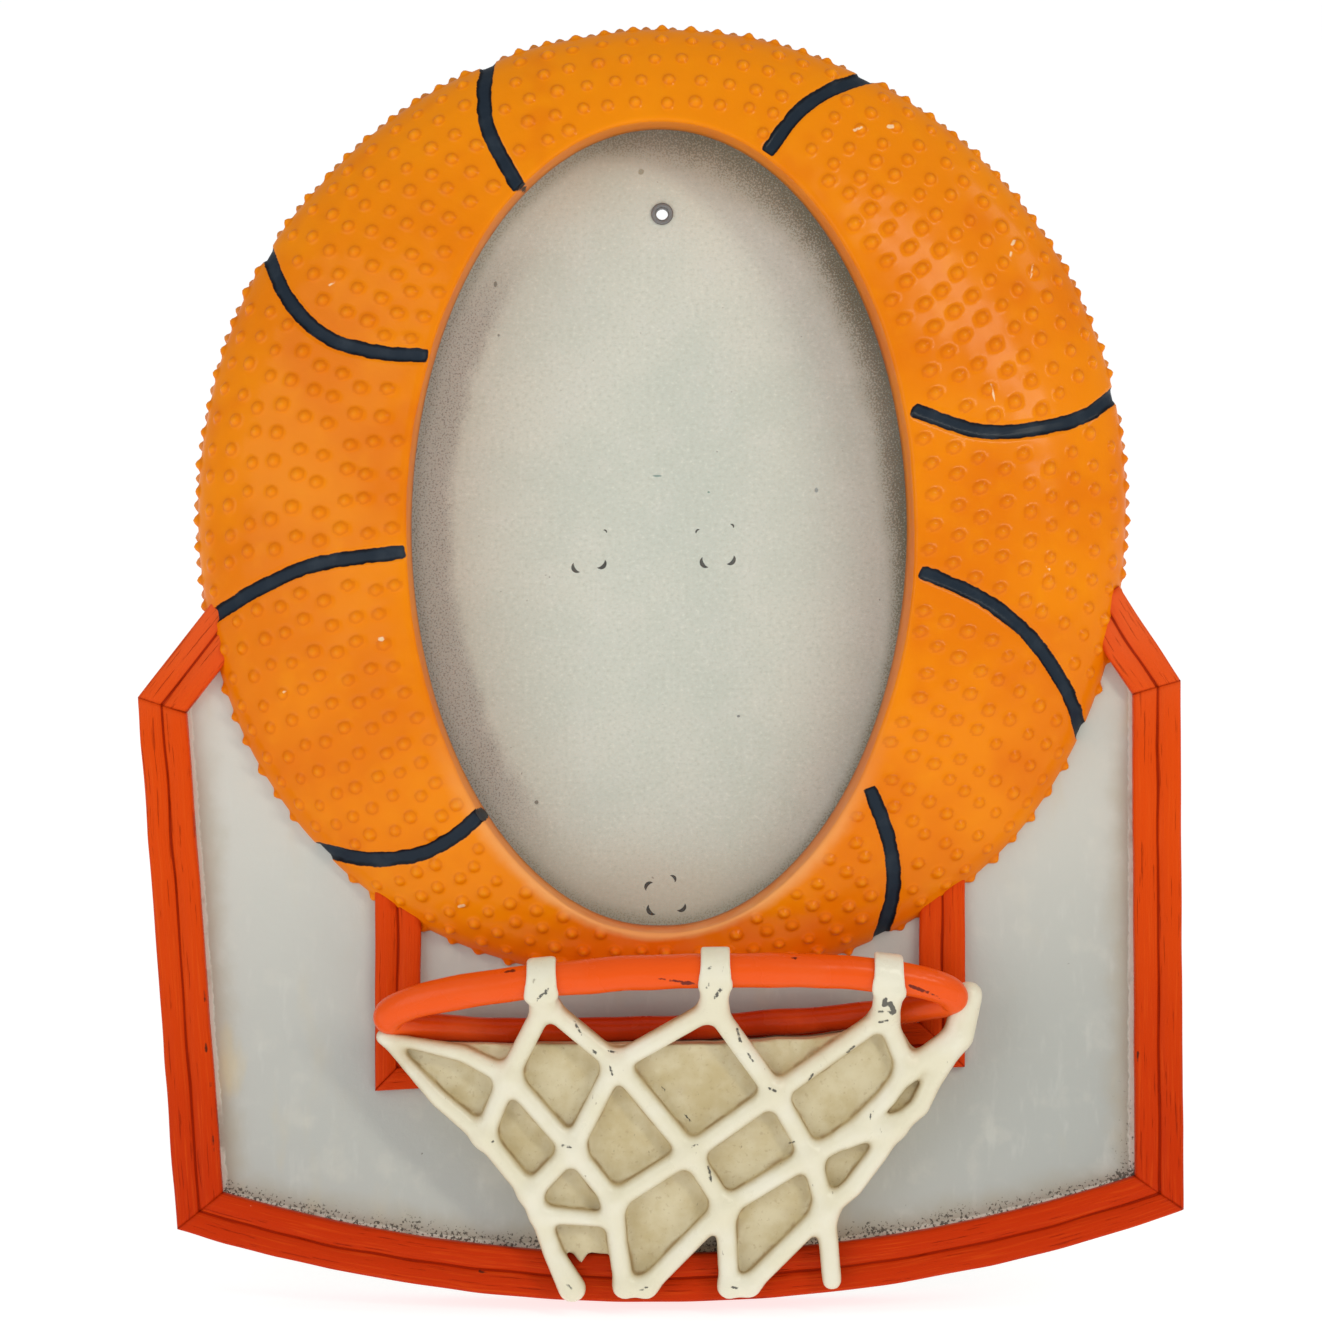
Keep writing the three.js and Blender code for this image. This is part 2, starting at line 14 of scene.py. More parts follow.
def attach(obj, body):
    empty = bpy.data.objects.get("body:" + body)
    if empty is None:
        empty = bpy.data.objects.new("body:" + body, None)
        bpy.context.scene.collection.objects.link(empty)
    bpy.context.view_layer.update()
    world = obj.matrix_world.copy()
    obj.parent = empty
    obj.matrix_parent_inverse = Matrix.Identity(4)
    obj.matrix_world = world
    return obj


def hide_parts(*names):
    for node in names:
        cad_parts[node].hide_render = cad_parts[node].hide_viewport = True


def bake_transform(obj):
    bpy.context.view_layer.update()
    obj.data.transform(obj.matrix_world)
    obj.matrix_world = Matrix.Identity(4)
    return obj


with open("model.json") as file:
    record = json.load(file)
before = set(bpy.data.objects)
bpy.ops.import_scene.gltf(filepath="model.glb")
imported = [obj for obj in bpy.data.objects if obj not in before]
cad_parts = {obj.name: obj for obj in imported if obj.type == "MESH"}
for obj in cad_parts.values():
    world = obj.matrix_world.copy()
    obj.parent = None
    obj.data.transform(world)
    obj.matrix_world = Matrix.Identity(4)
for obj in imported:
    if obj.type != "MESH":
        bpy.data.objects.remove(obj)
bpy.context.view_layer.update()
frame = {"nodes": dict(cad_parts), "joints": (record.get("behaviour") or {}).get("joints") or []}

# ------------------------------------------------------------------ table, light and camera
# The frame stands on a white table in a white tent. A long narrow softbox leans at the upper
# right, a small lamp stands at the far right and a wide one fills from the left. The camera
# looks straight at the leaning board.
MM = 0.001
LEAN = math.radians(14)
HINGE_LINE = Vector((0, 3.5, 132)) * MM          # the leg's axis in board axes
hinge = next(joint for joint in frame["joints"] if joint["name"] == "leg_hinge")
board_turn = Matrix.Rotation(-LEAN, 4, "X")
board_place = Matrix.Translation(Vector(hinge["pos_m"]) - board_turn @ HINGE_LINE) @ board_turn

PICTURE_WIDTH = 243.2                            # how much of the board plane the camera sees
PICTURE_MIDDLE = Vector((0.1, -8, 117.8)) * MM
CAMERA_DISTANCE = 1.2
SENSOR = 36


def put(name, data):
    """Puts a camera, a lamp or a mesh in the scene."""
    thing = bpy.data.objects.new(name, data)
    bpy.context.scene.collection.objects.link(thing)
    return thing


camera_data = bpy.data.cameras.new("camera")
camera_data.sensor_width = SENSOR
camera_data.lens = SENSOR * CAMERA_DISTANCE / (PICTURE_WIDTH * MM)
camera_data.clip_start = 0.05
camera = put("camera", camera_data)
camera.matrix_world = board_place @ Matrix.Translation(
    PICTURE_MIDDLE - Vector((0, CAMERA_DISTANCE, 0))) @ Matrix.Rotation(math.pi / 2, 4, "X")
bpy.context.scene.camera = camera


def add_lamp(name, place, width, height, power, tint, roll=0.0):
    """A soft lamp that faces the middle of the board; place is in board axes, metres."""
    lamp_data = bpy.data.lights.new(name, "AREA")
    lamp_data.shape = "RECTANGLE"
    lamp_data.size, lamp_data.size_y = width, height
    lamp_data.energy = power
    lamp_data.color = tint
    lamp = put(name, lamp_data)
    lamp.location = board_place @ Vector(place)
    aim = board_place @ PICTURE_MIDDLE - lamp.location
    turn = aim.to_track_quat("-Z", "Y").to_matrix() @ Matrix.Rotation(roll, 3, "Z")
    lamp.rotation_euler = turn.to_euler()


add_lamp("key softbox", (0.56, -0.77, 0.49), 0.62, 0.1, 2.5, (1.0, 0.97, 0.84), math.radians(-57))
add_lamp("side lamp", (0.95, -0.35, 0.9), 0.25, 0.25, 1.0, (1.0, 0.98, 0.95))
add_lamp("fill lamp", (-0.8, -0.9, 0.3), 0.8, 0.8, 3.2, (0.95, 0.98, 1.0))

TENT_COLOR, TENT_STRENGTH = (0.97, 0.985, 1.0, 1), 0.5
tent = bpy.data.worlds.new("tent")
tent.use_nodes = True
tent.node_tree.nodes["Background"].inputs["Color"].default_value = TENT_COLOR
tent.node_tree.nodes["Background"].inputs["Strength"].default_value = TENT_STRENGTH
bpy.context.scene.world = tent
bpy.context.scene.view_settings.view_transform = "Standard"

TABLE_REACH = 3.0
TABLE_WHITE = {"Base Color": (0.5, 0.5, 0.5, 1), "Roughness": 0.9, "Specular IOR Level": 0,
               "Emission Color": (1, 1, 1, 1), "Emission Strength": 0.76}
table_mesh = bpy.data.meshes.new("table")
table_corners = [(TABLE_REACH * x, TABLE_REACH * y, 0) for x, y in ((-1, -1), (1, -1), (1, 1), (-1, 1))]
table_mesh.from_pydata(table_corners, [], [(0, 1, 2, 3)])
table = put("table", table_mesh)
white_laminate = bpy.data.materials.new("white table")
white_laminate.use_nodes = True
for socket, setting in TABLE_WHITE.items():
    white_laminate.node_tree.nodes["Principled BSDF"].inputs[socket].default_value = setting
table_mesh.materials.append(white_laminate)


# ------------------------------------------------------------------ ball ring
# The ball is a hollow-backed resin casting, painted orange by hand. Its skin has rows of round
# pimples, and eight shallow black seams run from the oval window over the outer edge.
class Value:
    """A socket of a material, with arithmetic that adds Math nodes."""

    def __init__(self, socket):
        self.socket = socket

    @staticmethod
    def maths(operation, *terms):
        tree = next(term.socket.id_data for term in terms if isinstance(term, Value))
        node = tree.nodes.new("ShaderNodeMath")
        node.operation = operation
        for place, term in zip(node.inputs, terms):
            plug(place, term)
        return Value(node.outputs[0])

    def __add__(self, other):
        return Value.maths("ADD", self, other)

    def __radd__(self, other):
        return Value.maths("ADD", other, self)

    def __sub__(self, other):
        return Value.maths("SUBTRACT", self, other)

    def __rsub__(self, other):
        return Value.maths("SUBTRACT", other, self)

    def __mul__(self, other):
        return Value.maths("MULTIPLY", self, other)

    def __rmul__(self, other):
        return Value.maths("MULTIPLY", other, self)

    def __truediv__(self, other):
        return Value.maths("DIVIDE", self, other)

    def __pow__(self, other):
        return Value.maths("POWER", self, other)

    def __abs__(self):
        return Value.maths("ABSOLUTE", self)


def plug(place, term):
    """Links a Value to a socket, or sets the socket to a number, a colour or a vector."""
    if isinstance(term, Value):
        term.socket.id_data.links.new(place, term.socket)
    elif isinstance(term, (int, float)):
        place.default_value = term
    else:
        place.default_value = (*term, 1) if len(place.default_value) == 4 else term


class Finish:
    """A paint, metal, board or cloth: a Principled shader with a node network behind it."""

    def __init__(self, name, color, roughness, metallic=0.0):
        self.material = bpy.data.materials.new(name)
        self.material.use_nodes = True
        self.tree = self.material.node_tree
        self.shader = self.tree.nodes["Principled BSDF"]
        self.set("Base Color", color)
        self.set("Roughness", roughness)
        self.set("Metallic", metallic)

    def set(self, socket, term):
        plug(self.shader.inputs[socket], term)

    def node(self, kind, settings, *terms, output=0, **named):
        """Adds a node: its settings first, then its sockets in order or by name."""
        node = self.tree.nodes.new(kind)
        for key, value in settings.items():
            setattr(node, key, value)
        for place, term in zip(node.inputs, terms):
            if term is not None:
                plug(place, term)
        for key, term in named.items():
            plug(node.inputs[key.replace("_", " ")], term)
        return Value(node.outputs[output])

    def trait(self, name, output=2):
        """A value stored on the mesh's points; output 1 is a vector and 2 is a number."""
        return self.node("ShaderNodeAttribute", {"attribute_name": name}, output=output)

    def board(self):
        """The place on the piece in board axes, in millimetres."""
        place = self.node("ShaderNodeTexCoord", {}, output=3)
        back = board_place.inverted()
        shift = back.translation / MM
        return self.node("ShaderNodeMapping", {"vector_type": "POINT"}, place, tuple(shift),
                         (LEAN, 0, 0), (1 / MM,) * 3)

    def stretched(self, place, scale):
        return self.node("ShaderNodeVectorMath", {"operation": "MULTIPLY"}, place, scale)

    def part_of(self, place, axis):
        return self.node("ShaderNodeSeparateXYZ", {}, place, output="XYZ".index(axis))

    def noise(self, place, size, detail=3.0, rough=0.55):
        """Cloudy noise from 0 to 1; size is the width of its clouds in the units of place."""
        return self.node("ShaderNodeTexNoise", {}, Vector=place, Scale=1 / size, Detail=detail,
                         Roughness=rough)

    def step(self, value, low, high):
        """0 below low, 1 above high and smooth between; low may be above high."""
        return self.node("ShaderNodeMapRange", {"interpolation_type": "SMOOTHSTEP"}, value, low, high)

    def blend(self, mask, first, second):
        """Mixes two colours; a Mix node keeps its colours after five sockets of other kinds."""
        return self.node("ShaderNodeMix", {"data_type": "RGBA"}, mask, *[None] * 5, first, second, output=2)

    def bump(self, height, depth):
        """Raises the surface by height times depth, in millimetres."""
        relief = self.node("ShaderNodeBump", {}, Strength=1.0, Distance=depth * MM, Height=height)
        self.set("Normal", relief)


def placed_mesh(name, points, faces, place):
    """A mesh from points in millimetres in the axes of place."""
    mesh = bpy.data.meshes.new(name)
    matrix = np.array(place)
    placed = points * MM @ matrix[:3, :3].T + matrix[:3, 3]
    mesh.from_pydata(placed.tolist(), [], [list(face) for face in faces])
    mesh.update()
    return mesh


def add_piece(name, points, faces, body, finish, slot, traits=None, soften=True, place=board_place):
    """A piece of the frame, in board axes unless place says otherwise."""
    mesh = placed_mesh(name, points, faces, place)
    for key, values in (traits or {}).items():
        layer = mesh.attributes.new(key, "FLOAT", "POINT")
        layer.data.foreach_set("value", np.asarray(values, np.float32))
    if soften:
        mesh.shade_smooth()
    mesh.materials.append(finish.material)
    piece = put(name, mesh)
    if body:
        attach(piece, body)
    return piece


def grid_faces(rows, columns, wrap_rows=False, wrap_columns=False):
    """Quads over a grid of points stored row by row."""
    i = np.arange(rows if wrap_rows else rows - 1)[:, None]
    j = np.arange(columns if wrap_columns else columns - 1)[None, :]
    here, right = i * columns + j, i * columns + (j + 1) % columns
    below, across = (i + 1) % rows * columns + j, (i + 1) % rows * columns + (j + 1) % columns
    return np.stack([here, right, across, below], -1).reshape(-1, 4)


def capped_bar(rows, columns):
    """Faces of a bar of closed rows, with both of its ends."""
    faces = grid_faces(rows, columns, wrap_columns=True).tolist()
    return faces + [list(range(columns))[::-1], list(range((rows - 1) * columns, rows * columns))]


def smooth_step(value, low, high):
    t = np.clip((value - low) / (high - low), 0, 1)
    return t * t * (3 - 2 * t)


def clouds(points, size, seed):
    """Smooth noise from -1 to 1 at each point, for hand-made unevenness."""
    shift = Vector((seed * 17.3, seed * 9.1, seed * 5.7))
    return np.array([noise.noise(Vector(point) / size + shift) for point in points])


def route(points, count):
    """A smooth curve of count points through a few given points."""
    points = np.asarray(points, float)
    ends = np.vstack([2 * points[0] - points[1], points, 2 * points[-1] - points[-2]])
    place = np.linspace(0, len(points) - 1.0001, count)
    i, t = place.astype(int), (place % 1)[:, None]
    a, b, c, d = ends[i], ends[i + 1], ends[i + 2], ends[i + 3]
    return 0.5 * (2 * b + (c - a) * t + (2 * a - 5 * b + 4 * c - d) * t ** 2
                  + (3 * b - a - 3 * c + d) * t ** 3)


FAR = 9.0                                         # a distance that is out of reach of any mark or cord


def distance_to_route(places, line):
    """Distance from each place to the nearest stretch of a line, both in x and z."""
    nearest = np.full(len(places), np.inf)
    for start, end in zip(line[:-1], line[1:]):
        along = end - start
        t = np.clip((places - start) @ along / (along @ along), 0, 1)
        nearest = np.minimum(nearest, np.linalg.norm(places - start - t[:, None] * along, axis=1))
    return nearest


def marks_near(points, marks):
    """Distance from each point to the edge of the nearest mark, by x and z; 0 is on the edge."""
    places = points[:, [0, 2]]
    nearest = np.full(len(places), FAR)
    for x, z, length, facing, width in marks:
        turn = math.radians(facing)
        half = length / 2 * np.array([math.cos(turn), math.sin(turn)])
        line = np.array([(x, z) - half, (x, z) + half])
        nearest = np.minimum(nearest, distance_to_route(places, line) - width / 2)
    return nearest


def distance_to_seam(places, seam):
    """The same for a seam, whose inner end is cut nearly square a little before its last point."""
    line = route(seam, 22)
    along = (line[-1] - line[-2]) / np.linalg.norm(line[-1] - line[-2])
    line[-1] -= along * SEAM_END
    past = (places - line[-1]) @ along
    beside = np.abs((places - line[-1]) @ np.array([-along[1], along[0]]))
    square = (np.maximum(past, 0) ** 5 + beside ** 5) ** 0.2
    return np.where((past > 0) & (beside < NEAR_SEAM_END), square, distance_to_route(places, line))


WINDOW_MIDDLE, WINDOW_HALF = (0, 142.1), (46.1, 74.1)
BALL_MIDDLE, BALL_HALF = (0.3, 146.5), (85.4, 87.6)
BALL_SQUARENESS = 2.2                             # of the ball's lower half; an ellipse is 2
BALL_WALL, BALL_RISE = 6, 22
REBATE_MARGIN, REBATE_DEPTH = 4.9, 6.3
LIP_ROUND = 0.8
AROUND, UP_WALL, ROUND_LIP, OVER_DOME, DOWN_EDGE = 1100, 4, 5, 77, 5
PIMPLE_PITCH, PIMPLE_HEIGHT, PIMPLE_RADIUS = 5.3, 0.95, 1.4
FIRST_ROW, ROW_SPACING = 2.6, 0.87                # in from the outline, and as a share of the pitch
LIP_CLEAR, SEAM_CLEAR = 2.9, 1.2                  # smooth skin beside the lip and the seams
SEAM_WIDTH, SEAM_DEPTH, SEAM_END, NEAR_SEAM_END = 2.7, 0.5, 0.9, 6
SEAMS = [
    [(-31.6, 230), (-32.3, 221), (-31, 213.6), (-25.8, 204)],
    [(41.5, 226.5), (31.2, 222.4), (24.8, 217.6), (19.6, 210.6)],
    [(-73, 194.5), (-68.2, 184), (-60.8, 176.8), (-51.6, 174), (-42.6, 173.2)],
    [(84.6, 167.6), (77.2, 162.4), (66.2, 159.8), (57, 159.8), (46, 163.4)],
    [(-84.2, 124.6), (-73.8, 130.8), (-62.6, 135.4), (-46.8, 137.6)],
    [(77.6, 104.4), (74.4, 112.4), (68, 121.6), (58.8, 129), (47.6, 134)],
    [(-62.8, 83), (-53.4, 81.4), (-44.4, 82.4), (-37.8, 85.6), (-32.6, 90)],
    [(40.4, 66.4), (42.6, 75.6), (41.8, 84.8), (38.2, 94.4)],
]
BALL_CHIPS = [                                    # x, z, length, the way it runs and width
    (64.6, 194.4, 0.9, 60, 0.5), (64.1, 192.2, 0.8, 80, 0.45), (68, 189.2, 2.6, 80, 0.25),
    (60.5, 166.6, 3.4, -72, 0.35), (36.1, 215, 1.5, 20, 0.4), (42.1, 215.6, 0.7, 0, 0.6),
    (-50.7, 121.8, 0.5, 0, 0.7), (-68.6, 112.1, 0.5, 0, 0.6), (34.5, 116, 0.5, 45, 0.5),
    (-60, 186.6, 1.4, 30, 0.3), (70.8, 134.6, 0.9, -40, 0.4), (-36.4, 73, 1.0, 15, 0.4),
]


def oval(middle, half, angle, grow=0.0, squareness=2.0):
    """Points in x and z round an oval whose lower half is a little squarer than an ellipse."""
    power = np.where(np.sin(angle) < 0, 2 / squareness, 1)
    x = middle[0] + (half[0] + grow) * np.sign(np.cos(angle)) * np.abs(np.cos(angle)) ** power
    z = middle[1] + (half[1] + grow) * np.sign(np.sin(angle)) * np.abs(np.sin(angle)) ** power
    return np.stack([x, z], -1)


def reach_of(place):
    """0 at the middle of the ball and 1 on its outline."""
    power = np.where(place[..., 1] < BALL_MIDDLE[1], BALL_SQUARENESS, 2)
    across = np.abs((place[..., 0] - BALL_MIDDLE[0]) / BALL_HALF[0]) ** power
    up = np.abs((place[..., 1] - BALL_MIDDLE[1]) / BALL_HALF[1]) ** power
    return (across + up) ** (1 / power)


def dome_depth(place):
    return BALL_WALL + BALL_RISE * np.sqrt(np.clip(1 - reach_of(place) ** 2, 0, 1))


def ball_sections():
    """The ball's cross-sections round the window, as an array of section, point and xyz."""
    angle = np.linspace(0, 2 * math.pi, AROUND, endpoint=False)
    window = oval(WINDOW_MIDDLE, WINDOW_HALF, angle)
    rim = oval(BALL_MIDDLE, BALL_HALF, angle, squareness=BALL_SQUARENESS)
    step = oval(WINDOW_MIDDLE, WINDOW_HALF, angle, REBATE_MARGIN)
    # the wall leans in under the lip, most of all at the foot of the window
    draft = 0.5 + 0.25 * np.cos(angle) + 0.6 * np.maximum(-np.sin(angle), 0) ** 2
    width = np.linalg.norm(rim - window, axis=1)
    mouth = window
    window = window - (rim - window) * (draft / width)[:, None]
    lip = mouth + (rim - mouth) * (LIP_ROUND / width)[:, None]
    mouth_depth = dome_depth(lip) - LIP_ROUND
    rows = [(step, np.zeros(AROUND)), (step, np.full(AROUND, REBATE_DEPTH))]
    for t in np.linspace(0, 1, UP_WALL):
        rows.append((window + t * (mouth - window), REBATE_DEPTH + t * (mouth_depth - REBATE_DEPTH)))
    for turn in np.linspace(0, math.pi / 2, ROUND_LIP)[1:]:
        across, up = 1 - math.cos(turn), math.sin(turn)
        rows.append((mouth + across * (lip - mouth), mouth_depth + up * LIP_ROUND))
    lip_reach = reach_of(lip)
    start = np.arcsin(np.clip(lip_reach, 0, 1))
    for t in np.linspace(0, 1, OVER_DOME)[1:]:
        reach = np.sin(start + t * (math.pi / 2 - start))
        share = ((reach - lip_reach) / (1 - lip_reach))[:, None]
        place = lip + share * (rim - lip)
        rows.append((place, dome_depth(place)))
    for t in np.linspace(0, 1, DOWN_EDGE)[1:]:
        rows.append((rim, np.full(AROUND, BALL_WALL * (1 - t))))
    return np.stack([np.stack([place[:, 0], -depth, place[:, 1]], -1) for place, depth in rows], 1)


def pimple_places(skin, seam_distance):
    """Points for the pimples, in rows that follow the ball's outline, set a little unevenly."""
    random = np.random.default_rng(7)
    length = np.concatenate([np.zeros((AROUND, 1)),
                             np.cumsum(np.linalg.norm(np.diff(skin, axis=1), axis=2), axis=1)], 1)
    from_rim = length[:, -1:] - length
    places = []
    row = 0
    down = FIRST_ROW
    while down < length[:, -1].max():
        column = np.argmin(np.abs(from_rim - down), axis=1)
        line = skin[np.arange(AROUND), column]
        steps = np.linalg.norm(np.roll(line, -1, axis=0) - line, axis=1)
        around = np.concatenate([[0], np.cumsum(steps)])
        count = int(around[-1] / PIMPLE_PITCH)
        for k in range(count):
            at = (k + 0.5 * (row % 2) + random.uniform(-0.08, 0.08)) / count * around[-1]
            i = int(np.searchsorted(around, at % around[-1])) % AROUND
            j = int(np.argmin(np.abs(from_rim[i] - down - random.uniform(-0.35, 0.35))))
            near_lip = length[i, j] < LIP_CLEAR
            in_seam = seam_distance[i, j] < SEAM_WIDTH / 2 + SEAM_CLEAR
            height = PIMPLE_HEIGHT * random.uniform(0.75, 1.15)
            radius = PIMPLE_RADIUS * random.uniform(0.88, 1.08)
            if not near_lip and not in_seam:
                places.append((skin[i, j], height, radius))
        row += 1
        down += PIMPLE_PITCH * ROW_SPACING
    return places


def make_ball():
    sections = ball_sections()
    first_skin = 1 + UP_WALL                      # the last point of the wall, where the lip starts
    flat = sections.reshape(-1, 3)
    seam_distance = np.min([distance_to_seam(flat[:, [0, 2]], seam) for seam in SEAMS], 0)
    seam_distance = seam_distance.reshape(sections.shape[:2])
    round_way = np.roll(sections, -1, axis=0) - np.roll(sections, 1, axis=0)
    normal = np.cross(np.gradient(sections, axis=1), round_way)
    normal /= np.maximum(np.linalg.norm(normal, axis=2, keepdims=True), 1e-9)
    on_skin = np.zeros(sections.shape[:2])
    on_skin[:, first_skin:] = 1
    lift = on_skin * (0.32 * clouds(flat, 14, 1) + 0.06 * clouds(flat, 3.5, 2)).reshape(on_skin.shape)
    out_of_seam = smooth_step(seam_distance, SEAM_WIDTH * 0.32, SEAM_WIDTH * 0.56)
    lift -= on_skin * SEAM_DEPTH * (1 - out_of_seam)
    skin = sections[:, first_skin:]
    bumps = np.zeros(skin.shape[:2])
    for centre, height, radius in pimple_places(skin, seam_distance[:, first_skin:]):
        far = np.linalg.norm(skin - centre, axis=2) / radius
        bumps = np.maximum(bumps, height * np.clip(1 - far ** 2, 0, 1) ** 1.7)
    lift[:, first_skin:] += bumps
    lift[:, -1] = 0
    points = (sections + normal * lift[:, :, None]).reshape(-1, 3)
    points[:, 1] = np.minimum(points[:, 1], 0)
    relief = np.zeros(on_skin.shape)
    relief[:, first_skin:] = bumps
    faces = grid_faces(AROUND, sections.shape[1], wrap_rows=True, wrap_columns=True)
    columns_from_lip = np.abs(np.arange(on_skin.shape[1]) - (first_skin + ROUND_LIP / 2))
    from_lip = np.broadcast_to(columns_from_lip * 0.25, on_skin.shape)
    return points, faces, {"seam_distance": seam_distance.ravel(), "pimple": relief.ravel(),
                           "lip_distance": from_lip.ravel(),
                           "chip_distance": marks_near(points, BALL_CHIPS)}


def bare_resin(paint, place, cloud, low=-0.5, high=-0.2):
    """Where the back of a casting was left unpainted, and the colour of its resin."""
    resin = paint.blend(paint.step(cloud, 0.35, 0.7), (0.62, 0.58, 0.47), (0.72, 0.68, 0.57))
    return paint.step(paint.part_of(place, "Y"), low, high), resin


def ball_finish():
    paint = Finish("orange ball paint", (0.83, 0.225, 0.001), 0.4)
    paint.set("Specular IOR Level", 0.03)
    paint.set("Coat Roughness", 0.18)
    place = paint.board()
    broad = paint.noise(place, 24, 3)
    fine = paint.noise(place, 5, 4)
    height = paint.part_of(place, "Z")
    orange = paint.blend(paint.step(broad, 0.36, 0.66), (0.79, 0.19, 0.0), (0.86, 0.24, 0.0))
    # painted light: the top of the ball is mixed towards a lighter orange
    upper = paint.step(height + 20 * (broad - 0.5), 170, 230)
    orange = paint.blend(upper * 0.7, orange, (0.90, 0.28, 0.0))
    orange = paint.blend(paint.step(fine, 0.5, 0.78) * 0.3, orange, (0.89, 0.29, 0.0))
    deep = paint.step(paint.noise(place, 13, 2), 0.56, 0.72)
    orange = paint.blend(deep * 0.35, orange, (0.74, 0.15, 0.0))
    # the band near the hoop is mixed towards a redder orange, partly a deeper paint tone and partly painted
    # shade
    lower = paint.step(height + 12 * (broad - 0.5), 76, 58)
    orange = paint.blend(lower * 0.85, orange, (0.94, 0.105, 0.0))
    pimple = paint.trait("pimple")
    # painted shade: the foot of each pimple is mixed darker
    foot = paint.step(pimple, 0.02, 0.14) * paint.step(pimple, 0.5, 0.22)
    orange = paint.blend(foot * 0.3, orange, (0.60, 0.10, 0.0))
    # painted highlight: the top of each pimple is mixed lighter
    orange = paint.blend(paint.step(pimple, 0.5, 0.9) * 0.3, orange, (0.95, 0.34, 0.01))
    # painted light: the lower lip of the window, which faces up, is mixed lighter in a ragged band
    painted_lip_light = paint.step(paint.trait("lip_distance") + 1.2 * (fine - 0.5), 1.5, 0.2)
    orange = paint.blend(painted_lip_light * paint.step(height, 112, 72) * 0.65, orange, (0.92, 0.46, 0.17))
    chips = paint.step(paint.trait("chip_distance") + 0.4 * (fine - 0.5), 0.12, -0.05)
    orange = paint.blend(chips * 0.8, orange, (0.95, 0.74, 0.46))
    wobble = paint.noise(place, 2.2, 2) * 0.7 - 0.35
    seam = paint.trait("seam_distance") + wobble
    edge = SEAM_WIDTH / 2
    black = paint.step(seam, edge + 0.08, edge - 0.08)
    slate = paint.blend(paint.step(seam, edge - 0.15, edge - 0.7), (0.005, 0.006, 0.009),
                        (0.016, 0.025, 0.038))
    slate = paint.blend(paint.step(fine, 0.45, 0.75) * 0.6, slate, (0.035, 0.047, 0.062))
    bare_back, resin = bare_resin(paint, place, fine)
    paint.set("Base Color", paint.blend(bare_back, paint.blend(black, orange, slate), resin))
    paint.set("Roughness", 0.35 + 0.12 * broad + 0.3 * bare_back)
    paint.set("Coat Weight", (0.14 + 0.14 * broad - 0.1 * black) * (1 - bare_back))
    paint.bump(fine * 0.8 + paint.noise(place, 1.3, 2) * 0.35, 0.13)
    return paint


ball_points, ball_faces, ball_traits = make_ball()
ball = add_piece("ball_casting", ball_points, ball_faces, "frame", ball_finish(), "ball_paint",
                 ball_traits)
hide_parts("ball_ring")


# ------------------------------------------------------------------ backboard panel
# The grey panel is cast flat, sprayed a warm light grey and rubbed with a thin brown wash that
# has stayed along its edges. It runs on under the ball and up to the rails.
BOARD_LEFT, LOWER_LEFT, UPPER_LEFT_HEIGHT = -96.1, -88.8, 111.1
BOARD_RIGHT, LOWER_RIGHT, UPPER_RIGHT_HEIGHT = 95.6, 96.1, 114.3
SHOULDER_LEFT, SHOULDER_RIGHT = (-80.7, 130.8), (84.2, 131.6)
SWEEP_RADIUS, SWEEP_X = 290, -1.5
PANEL_DEPTH, RAIL_WIDTH, RAIL_DEPTH = 7, 8.8, 10.5
PANEL_BACK = -0.45


def sweep_height(x, radius):
    return SWEEP_RADIUS - np.sqrt(radius ** 2 - (x - SWEEP_X) ** 2)


def sweep(start, end, inset, count):
    """Points of the round bottom edge between two x, moved in by inset."""
    x = np.linspace(start, end, count)
    return np.stack([x, sweep_height(x, SWEEP_RADIUS - inset)], -1)


def inset_corners(inset):
    """The six corners of the board's outline moved in; corners 2 and 3 end the round bottom."""
    outer = [SHOULDER_LEFT, (BOARD_LEFT, UPPER_LEFT_HEIGHT),
             (LOWER_LEFT, sweep_height(LOWER_LEFT, SWEEP_RADIUS)),
             (LOWER_RIGHT, sweep_height(LOWER_RIGHT, SWEEP_RADIUS)),
             (BOARD_RIGHT, UPPER_RIGHT_HEIGHT), SHOULDER_RIGHT]
    outer = [np.array(corner, float) for corner in outer]
    sides = []
    for start, end in ((0, 1), (1, 2), (3, 4), (4, 5)):
        along = (outer[end] - outer[start]) / np.linalg.norm(outer[end] - outer[start])
        inward = np.array([-along[1], along[0]])
        sides.append((outer[start] + inward * inset, along, outer[end] + inward * inset))

    def crossing(first, second):
        t = np.linalg.solve(np.stack([first[1], -second[1]], 1), second[0] - first[0])
        return first[0] + t[0] * first[1]

    def on_sweep(side):
        x = side[0][0]
        for _ in range(20):
            z = sweep_height(x, SWEEP_RADIUS - inset)
            x = side[0][0] + (z - side[0][1]) / side[1][1] * side[1][0]
        return np.array([x, z])

    return [sides[0][0], crossing(sides[0], sides[1]), on_sweep(sides[1]), on_sweep(sides[2]),
            crossing(sides[2], sides[3]), sides[3][2]]


def slab_faces(count):
    """The back, the front and the sides of a slab whose outline has count points."""
    sides = [(i, (i + 1) % count, count + (i + 1) % count, count + i) for i in range(count)]
    return [tuple(range(count))[::-1], tuple(range(count, 2 * count)), *sides]


def prism(outline, back, front):
    """A slab between two depths with an outline in x and z, anticlockwise as seen from the front."""
    points = np.concatenate([np.insert(np.asarray(outline), 1, depth, axis=1) for depth in (back, front)])
    return points, slab_faces(len(outline))


